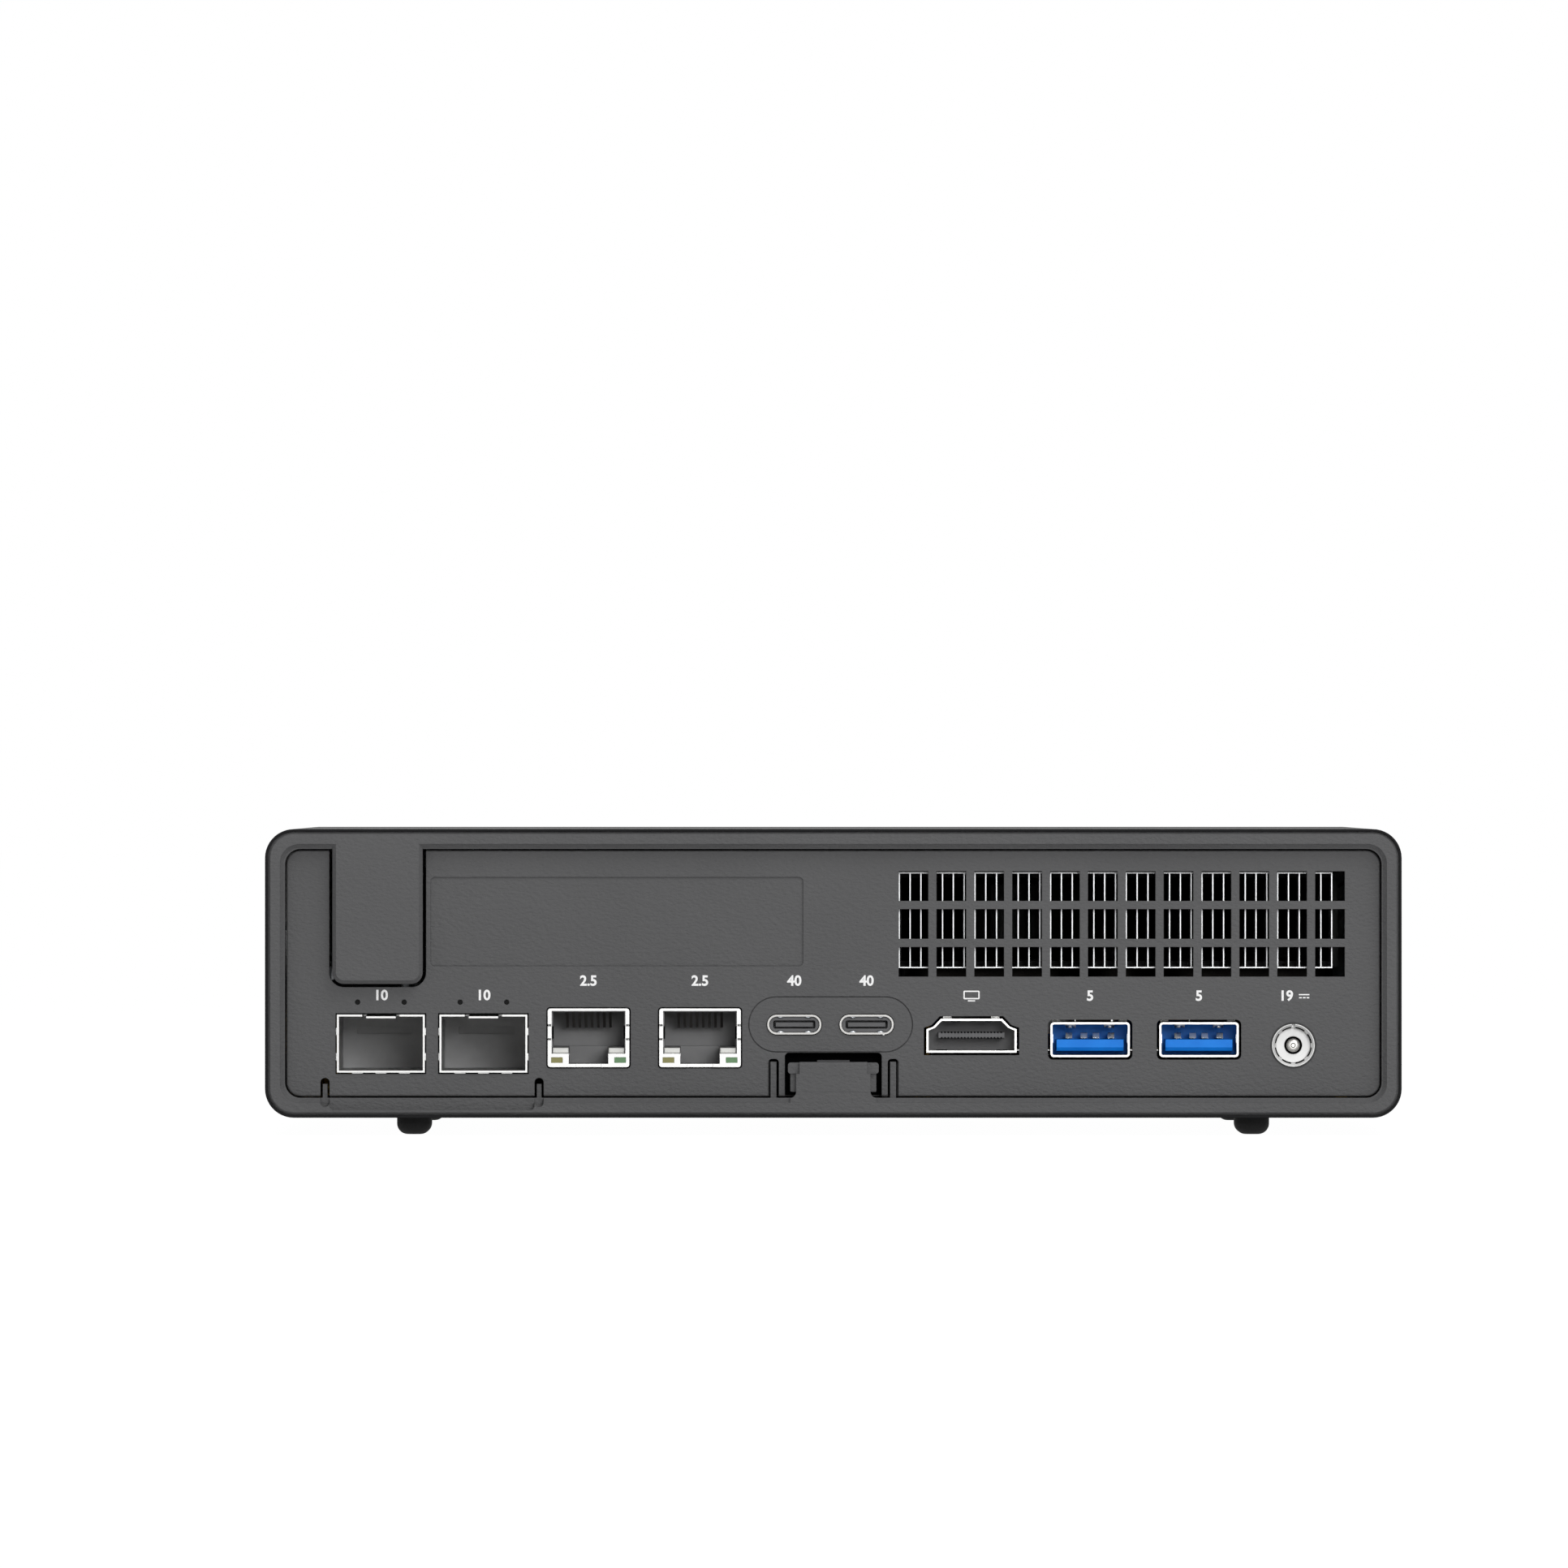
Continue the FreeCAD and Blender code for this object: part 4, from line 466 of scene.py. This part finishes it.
def printed(name, words, x, z, height, y):
    """One line of screen-printed figures, centred on (x, z) on a face that looks along -Y."""
    cap_share = 0.68
    curve = bpy.data.curves.new(name, "FONT")
    curve.body, curve.align_x, curve.align_y, curve.resolution_u = words, "CENTER", "CENTER", 4
    curve.size, curve.offset, curve.extrude = height / cap_share * MM, 0.07 * MM, 0.012 * MM
    drawn = bpy.data.objects.new(name + ".text", curve)
    bpy.context.scene.collection.objects.link(drawn)
    mesh = bpy.data.meshes.new_from_object(drawn)
    bpy.data.objects.remove(drawn)
    mesh.transform(Matrix.Translation((x * MM, y * MM, z * MM)) @ Matrix.Rotation(math.pi / 2, 4, "X"))
    mesh.materials.clear()
    mesh.materials.append(ink)
    made = bpy.data.objects.new(name, mesh)
    bpy.context.scene.collection.objects.link(made)
    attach(made, "chassis")


# -------------------------------- places read from the frame, in millimetres
def span(node):
    """(lowest corner, highest corner) of a CAD node in millimetres."""
    low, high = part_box(node)
    return np.array(low) / MM, np.array(high) / MM


def middle(node):
    """Centre of a CAD node's box in millimetres."""
    low, high = span(node)
    return (low + high) / 2


sides = (-1, 1)
port_face = span("usb_a_shell_1")[0][1]
panel_face = port_face + 0.3
board_top = span("mainboard")[1][2]
wide_ports = [middle("usb_a_shell_1")[0], middle("usb_a_shell_2")[0]]
wide_half_width, wide_half_height = 6.6, 2.9
wide_port_z = span("usb_a_shell_1")[0][2] + wide_half_height
shell_wall = 0.34
small_ports = [middle("usb_c_shell_1")[0], middle("usb_c_shell_2")[0]]
small_port_z = middle("usb_c_shell_1")[2]
display_x, display_low = middle("hdmi_shell")[0], span("hdmi_shell")[0][2]
jacks = [middle("rj45_shell_1")[0], middle("rj45_shell_2")[0]]
inlet_x, _, inlet_z = middle("dc_jack_barrel")
cages = [middle("sfp_cage_1")[0], middle("sfp_cage_2")[0]]

# -------------------------------- figures on the connector panel
ink_depth = 0.024
ink_y = panel_face - ink_depth / 2
figure_height = 1.6
module_row, lower_row, upper_row = 23.3, 23.2, 25.7
for label, words, x, z in (
        ("figure_module_left", "10", cages[0], module_row),
        ("figure_module_right", "10", cages[1], module_row),
        ("figure_network_left", "2.5", jacks[0], upper_row),
        ("figure_network_right", "2.5", jacks[1], upper_row),
        ("figure_small_port_left", "40", small_ports[0], upper_row),
        ("figure_small_port_right", "40", small_ports[1], upper_row),
        ("figure_port_left", "5", wide_ports[0], lower_row),
        ("figure_port_right", "5", wide_ports[1], lower_row),
        ("figure_power", "19", inlet_x - 1.2, lower_row)):
    printed(label, words, x, z, figure_height, ink_y)
sign_x = inlet_x + 1.8
dashes = [(sign_x + k * 0.62, ink_y, 22.95) for k in (-1, 0, 1)]
piece("direct_current_sign", together(blocks([(sign_x, ink_y, 23.45)], (1.75, ink_depth, 0.2)),
                                      blocks(dashes, (0.46, ink_depth, 0.2))), ink, "chassis")
screen = collar(oblong(1.35, 0.72, 0.2), oblong(1.13, 0.5, 0.08),
                ink_y - ink_depth / 2, ink_y + ink_depth / 2)
stand = blocks([(display_x, ink_y, 22.42)], (1.2, ink_depth, 0.2))
piece("display_sign", together(copies(screen, [(display_x, 0, 23.4)]), stand), ink, "chassis")

# -------------------------------- inside the ports
roof = wide_port_z + wide_half_height - shell_wall
bowed = [(x + side * 3.2, port_face + 0.5, roof - 0.1) for x in wide_ports for side in sides]
piece("port_roof_springs", copies(leaf(1.7, 4.2, 0.55, 0.1), bowed), spring_plate, "chassis",
      smooth=True)
flat = [(x + side * (wide_half_width - shell_wall - 0.05), port_face + 3.0, wide_port_z + 0.2)
        for x in wide_ports for side in sides]
piece("port_side_springs", blocks(flat, (0.12, 3.0, 1.5), 0.05, "+Z"), pale_spring, "chassis")
lining = collar(oblong(4.14, 1.29, 1.28), oblong(3.5, 0.68, 0.3), port_face + 0.75, port_face + 3.3)
piece("small_port_rings", copies(lining, [(x, 0, small_port_z) for x in small_ports]),
      port_insert, "chassis")
dimples = [(x + side * 2.3, port_face + 0.12) for x in small_ports for side in sides]
upper = [(x, y, small_port_z + 1.25) for x, y in dimples]
lower = [(x, y, small_port_z - 1.25) for x, y in dimples]
piece("small_port_springs", together(copies(leaf(0.8, 0.62, 0.24, 0.08), upper),
                                     copies(flipped(leaf(1.0, 0.62, 0.26, 0.08)), lower)),
      pale_spring, "chassis", smooth=True)
# The contact teeth are drawn in near black: painted shade between and behind them, not the colour of their
# plating.
teeth = [(display_x + (k - 9) * 0.55, port_face + 3.6, display_low + z)
         for k in range(19) for z in (2.42, 3.38)]
piece("display_port_contacts_painted_shade", blocks(teeth, (0.26, 4.0, 0.16), 0.03), painted_shadow_black, "chassis")
# Near-black slits in the shell: painted shade standing for the dark insides of the openings.
slits = ([(display_x + side * 2.5, port_face + 1.6, display_low + 5.24) for side in sides]
         + [(display_x + side * 5.0, port_face + 1.6, display_low + 0.42) for side in sides])
piece("display_port_slots_painted_shade", blocks(slits, (1.9, 2.6, 0.16), 0.04), painted_shadow_black, "chassis")
bowed = [(display_x + side * 2.5, port_face + 0.6, display_low + 5.18) for side in sides]
piece("display_port_springs", copies(leaf(1.3, 3.4, 0.3, 0.08), bowed), pale_spring, "chassis",
      smooth=True)
recess_level, ledge_level = 17.15, 14.15
# Near-black patches at each jack's sides: painted shade for the dark recesses.
recesses = [(x + side * 5.93, port_face + 1.9, recess_level) for x in jacks for side in sides]
piece("jack_side_recesses_painted_shade", blocks(recesses, (0.2, 1.4, 2.1), 0.04, "+Z"),
      painted_shadow_black, "chassis")
ledges = [(x + side * 4.66, port_face + 1.25, ledge_level) for x in jacks for side in sides]
piece("jack_ledges", blocks(ledges, (2.6, 1.0, 0.85), 0.12, "-Y"), white_nylon, "chassis")

# -------------------------------- power inlet: painted shade in the spring slots, round the pin and in its tip
inlet = [(inlet_x, 0, inlet_z)]
# Near-black arcs on the barrel's face: painted shade in the slots between its springs.
arcs = [arc_bar(2.98, 45 * k + 7, 45 * k + 38, 0.18, port_face + 0.3, port_face + 0.6, 10)
        for k in range(8)]
piece("inlet_spring_slots_painted_shade", copies(together(*arcs), inlet), painted_shadow_black, "chassis")
# A near-black ring round the pin: a painted shadow ring.
piece("inlet_painted_shadow_ring", turned([(1.45, port_face + 1.7), (1.18, port_face + 1.7), (1.18, port_face + 2.9),
                                  (1.45, port_face + 2.9)], inlet, "Y", 40, True),
      painted_shadow_black, "chassis")
piece("inlet_floor", turned([(2.86, port_face + 1.9), (1.48, port_face + 1.9), (1.48, port_face + 2.6),
                             (2.86, port_face + 2.6)], inlet, "Y", 48, True),
      satin_nickel, "chassis")
# A near-black cup in the pin's tip: painted shade in its bore.
piece("inlet_pin_bore_painted_shade", turned([(0.3, port_face + 0.86), (0.42, port_face + 0.98), (0.42, port_face + 1.2),
                                (0.3, port_face + 1.2)], inlet, "Y", 24, True),
      painted_shadow_black, "chassis")

# -------------------------------- behind the release latch
notch_back = span("rear_frame")[1][1] + 0.38
notch_middle, notch_roof = 10.6, 14.34
# A near-black back sheet and roof in the latch's grip notch: painted shade, standing for the dark hollow
# behind it.
piece("latch_recess_painted_shade", blocks([(0, notch_back - 0.04, notch_middle), (0, notch_back - 1.5, notch_roof)],
                                    [(21.0, 0.06, 7.8), (21.0, 2.7, 0.06)]),
      painted_shadow_black, "chassis")


# -------------------------------- parts soldered on the mainboard
def scattered(columns, rows, x0, y0, dx, dy):
    """Centres (x, y) of a rectangular field: every column crossed with every row."""
    x, y = np.meshgrid(x0 + np.arange(columns) * dx, y0 + np.arange(rows) * dy)
    return np.stack([x.ravel(), y.ravel()], -1)


def lifted(pairs, z):
    """Pairs of values with one third value: centres (x, y) at a height, or footprints with a thickness."""
    pairs = np.atleast_2d(pairs)
    return np.column_stack([pairs, np.full(len(pairs), z)])


def standing(centres, height):
    """Centres on the board's top turned into centres in space, half a height above it."""
    return lifted(centres, board_top + height / 2)


# each chip's centre (x, y), then its width and depth
chips = np.array([(-58, 32, 17, 17), (-30, -42, 12, 12), (-26, 48, 10, 10), (-56, 60, 9, 9), (24, 66, 9, 9),
                  (52, 70, 7, 7), (-78, 0, 8, 6), (-78, 14, 8, 6), (-20, -68, 11, 11)], float)
chip_height = 1.1
piece("board_chips", blocks(standing(chips[:, :2], chip_height), lifted(chips[:, 2:], chip_height), 0.12),
      chip_resin, "chassis")
small = np.concatenate([scattered(24, 2, 14.0, 7.0, 2.7, 1.9), scattered(9, 3, -50.0, -34.0, 2.4, 3.0),
                        scattered(12, 2, -68.0, 45.0, 2.0, 3.2), scattered(3, 9, -80.0, -30.0, 2.6, 2.4),
                        scattered(14, 2, -24.0, 62.0, 2.2, 3.0), scattered(10, 2, 30.0, 60.0, 2.4, 2.8),
                        scattered(4, 10, -34.0, -14.0, 2.8, 2.4)])
piece("board_capacitors", blocks(standing(small, 0.9), (1.7, 0.95, 0.9), 0.08),
      ceramic, "chassis")
cans = np.array([(9.5, 9.5), (-14, 44), (-14, 52), (-40, 66), (-48, 66), (-84, 40), (-84, 48), (-70, -52),
                 (-60, -52)])
can_profile = [(0.02, 0.0), (2.9, 0.0), (2.9, 0.9), (2.65, 1.1), (2.65, 5.0), (2.4, 5.3), (0.02, 5.3)]
piece("board_cans", turned(can_profile, lifted(cans, board_top), "Z", 24), can_metal, "chassis")
coils = np.array([(-70, 66), (-30, 66), (-20, -56), (-8, -80), (-78, -44), (66, 66)])
piece("board_coils", blocks(standing(coils, 3.0), (6.4, 6.4, 3.0), 0.6), coil_resin, "chassis")
headers = [(-66, 76), (-46, 76), (2, 76), (40, 78)]
piece("board_headers", blocks(standing(headers, 5.5), (11.0, 5.0, 5.5), 0.4),
      white_nylon, "chassis")
pins = scattered(5, 2, -70.0, 75.0, 2.0, 2.0)
piece("header_pins", together(*[blocks(lifted(pins + (shift, 0), board_top + 6.0), (0.5, 0.5, 1.6), 0.12)
                                for shift in (0, 20, 68)]), gold_plate, "chassis")
sink_x, sink_y = -66, -8
sink_fins = [(x, sink_y) for x in np.linspace(sink_x - 18.0, sink_x + 18.0, 13)]
piece("network_heatsink", together(
    blocks([(sink_x, sink_y, board_top + 2.4)], (39.0, 34.0, 2.0), 0.3),
    blocks(lifted(sink_fins, board_top + 6.2), (1.1, 34.0, 5.8), 0.25),
    blocks([(sink_x, sink_y, board_top + 0.75)], (18.0, 18.0, 1.5))),
    black_anodised, "chassis")
slot_low, slot_high = span("expansion_slot")
contact_rows = np.linspace(slot_low[1] + 3.5, slot_high[1] - 3.5, 60)
contact_line = [(slot_low[0] + 3.0, y) for y in contact_rows]
both_rows = np.concatenate([lifted(contact_line, board_top + z) for z in (10.48, 12.12)])
piece("expansion_contacts", blocks(both_rows, (5.6, 0.7, 0.14)), gold_plate, "chassis")
memory_low, memory_high = span("memory_modules")
rise = memory_high[2] - 2.2
fingers = [(x, memory_low[1] + 4.4) for x in np.linspace(memory_low[0] + 2.0, memory_high[0] - 2.0, 76)]
piece("memory_fingers", blocks(lifted(fingers, rise + 1.22), (0.55, 2.2, 0.05)),
      gold_plate, "chassis")
passives = scattered(30, 1, memory_low[0] + 3.5, memory_low[1] + 28.8, 2.08, 1)
piece("memory_parts", blocks(lifted(passives, rise + 1.45), (1.1, 0.6, 0.5), 0.06),
      ceramic, "chassis")

# -------------------------------- blower
roof_z = span("blower_housing")[1][2]
wheel = middle("blower_rotor")
corners = np.array([(15.5, 4.5), (79.5, 4.5), (14.0, -68.0), (81.0, -68.0)])
screw_head = [(0.02, 0.0), (2.3, 0.0), (2.3, 0.5), (1.9, 0.95), (0.02, 0.95)]
piece("blower_screws", turned(screw_head, lifted(corners, roof_z - 0.05), "Z", 24),
      steel, "chassis")
piece("blower_inlet_lip", turned([(22.0, 0.0), (23.4, 0.0), (23.4, 0.35), (22.7, 0.7), (22.0, 0.35)],
                                 [(wheel[0], wheel[1], roof_z - 0.02)], "Z", 96, True),
      black_plastic, "chassis", smooth=True)
hub_depth = 4.47
hub = [(wheel[0], wheel[1], roof_z - hub_depth)]
piece("blower_hub_rings", together(*[turned([(r, 0.0), (r + 0.6, 0.0), (r + 0.6, 0.2), (r, 0.2)],
                                            hub, "Z", 64, True) for r in (4.0, 11.2)]),
      dark_insert, "blower_wheel")

# -------------------------------- front face
front = span("power_button")[1][1]
button_x, _, button_z = middle("power_button")
button = [(button_x, front, button_z)]
proud, sunk, stroke = 0.012, 0.05, 0.36
piece("button_ring", turned([(5.32, -0.6), (5.8, -0.6), (5.8, proud), (5.32, proud)],
                            button, "Y", 72, True), nickel, "chassis")
open_ring = arc_bar(1.75, 122, 418, stroke, -sunk, proud)
upright = blocks([(0, (proud - sunk) / 2, 1.55)], (stroke, sunk + proud, 1.9))
piece("button_sign", copies(together(open_ring, upright), button), ink, "button")
port_low, port_high = span("front_usb_shells")
front_ports = np.linspace(port_low[0] + wide_half_width, port_high[0] - wide_half_width, 3)
spring_level, contact_level = 17.46, 15.18
bowed = [(x + side * 3.2, front - 5.9, spring_level) for x in front_ports for side in sides]
piece("front_roof_springs", copies(leaf(1.7, 4.6, 0.42, 0.1), bowed), pale_spring, "chassis",
      smooth=True)
strips = [(x + k, front - 6.0, contact_level) for x in front_ports for k in (-3.5, -1.0, 1.0, 3.5)]
piece("front_contacts", blocks(strips, (1.0, 5.0, 0.3), 0.1), spring_plate, "chassis")
audio_x, audio_level = middle("audio_jack")[0], 15.0
piece("audio_ring", turned([(1.8, -0.6), (2.9, -0.6), (2.9, -0.12), (2.4, 0.0), (1.8, -0.2)],
                           [(audio_x, front - 0.05, audio_level)], "Y", 48, True),
      nickel, "chassis")


# -------------------------------- stage, light and camera
def floor():
    """A wide sheet of white paper under the feet."""
    mesh = bpy.data.meshes.new("floor")
    reach = 14.0
    corners = [(-reach, -reach, 0), (reach, -reach, 0), (reach, reach, 0), (-reach, reach, 0)]
    mesh.from_pydata(corners, [], [(0, 1, 2, 3)])
    made = bpy.data.objects.new("floor", mesh)
    bpy.context.scene.collection.objects.link(made)
    mesh.materials.append(backdrop_white())


def lamp(name, place, target, size, power):
    """A square soft box of one size in metres, aimed at a target."""
    data = bpy.data.lights.new(name, "AREA")
    data.shape, data.size, data.energy = "SQUARE", size, power
    made = bpy.data.objects.new(name, data)
    bpy.context.scene.collection.objects.link(made)
    made.location = place
    aim = np.array(target) - np.array(place)
    made.rotation_euler = (math.atan2(math.hypot(aim[0], aim[1]), -aim[2]), 0,
                           math.atan2(-aim[0], aim[1]))


def world(fill):
    """An even white surround: fill lights the object, but camera, mirror and glass rays see plain white."""
    made = bpy.data.worlds.new("studio")
    bpy.context.scene.world = made
    made.use_nodes = True
    made.node_tree.nodes.clear()
    path = add(made, "ShaderNodeLightPath")
    either = add(made, "ShaderNodeMath", {
        0: path.outputs["Is Camera Ray"], 1: path.outputs["Is Transmission Ray"]}, operation="MAXIMUM")
    glossy = add(made, "ShaderNodeMath", {
        0: either.outputs[0], 1: path.outputs["Is Glossy Ray"]}, operation="MAXIMUM")
    strength = add(made, "ShaderNodeMapRange", {
        "Value": glossy.outputs[0], "To Min": fill, "To Max": 1.0})
    light = add(made, "ShaderNodeBackground", {
        "Color": (1, 1, 1, 1), "Strength": strength.outputs["Result"]})
    add(made, "ShaderNodeOutputWorld", {"Surface": light.outputs[0]})


def camera():
    """A long lens level with the machine, square to the connector face."""
    frame_width = 0.2607
    distance = 3.6
    data = bpy.data.cameras.new("camera")
    data.sensor_width = 36.0
    data.lens = data.sensor_width * distance / frame_width
    data.clip_end = 60.0
    made = bpy.data.objects.new("camera", data)
    bpy.context.scene.collection.objects.link(made)
    made.location = (-0.0082, cad_bounds[0][1] - distance, 0.0585)
    made.rotation_euler = (math.pi / 2, 0, 0)
    bpy.context.scene.camera = made


floor()
world(0.36)
lamp("key", (0.5, -0.75, 1.05), (0, -0.05, 0.02), 0.7, 6.0)
lamp("front", (0.45, -2.6, 0.5), (0, -0.1, 0.03), 0.7, 19.0)
lamp("rim", (-0.3, 0.7, 1.0), (0, 0, 0.03), 0.8, 5.0)
camera()
bpy.context.scene.view_settings.view_transform = "Standard"
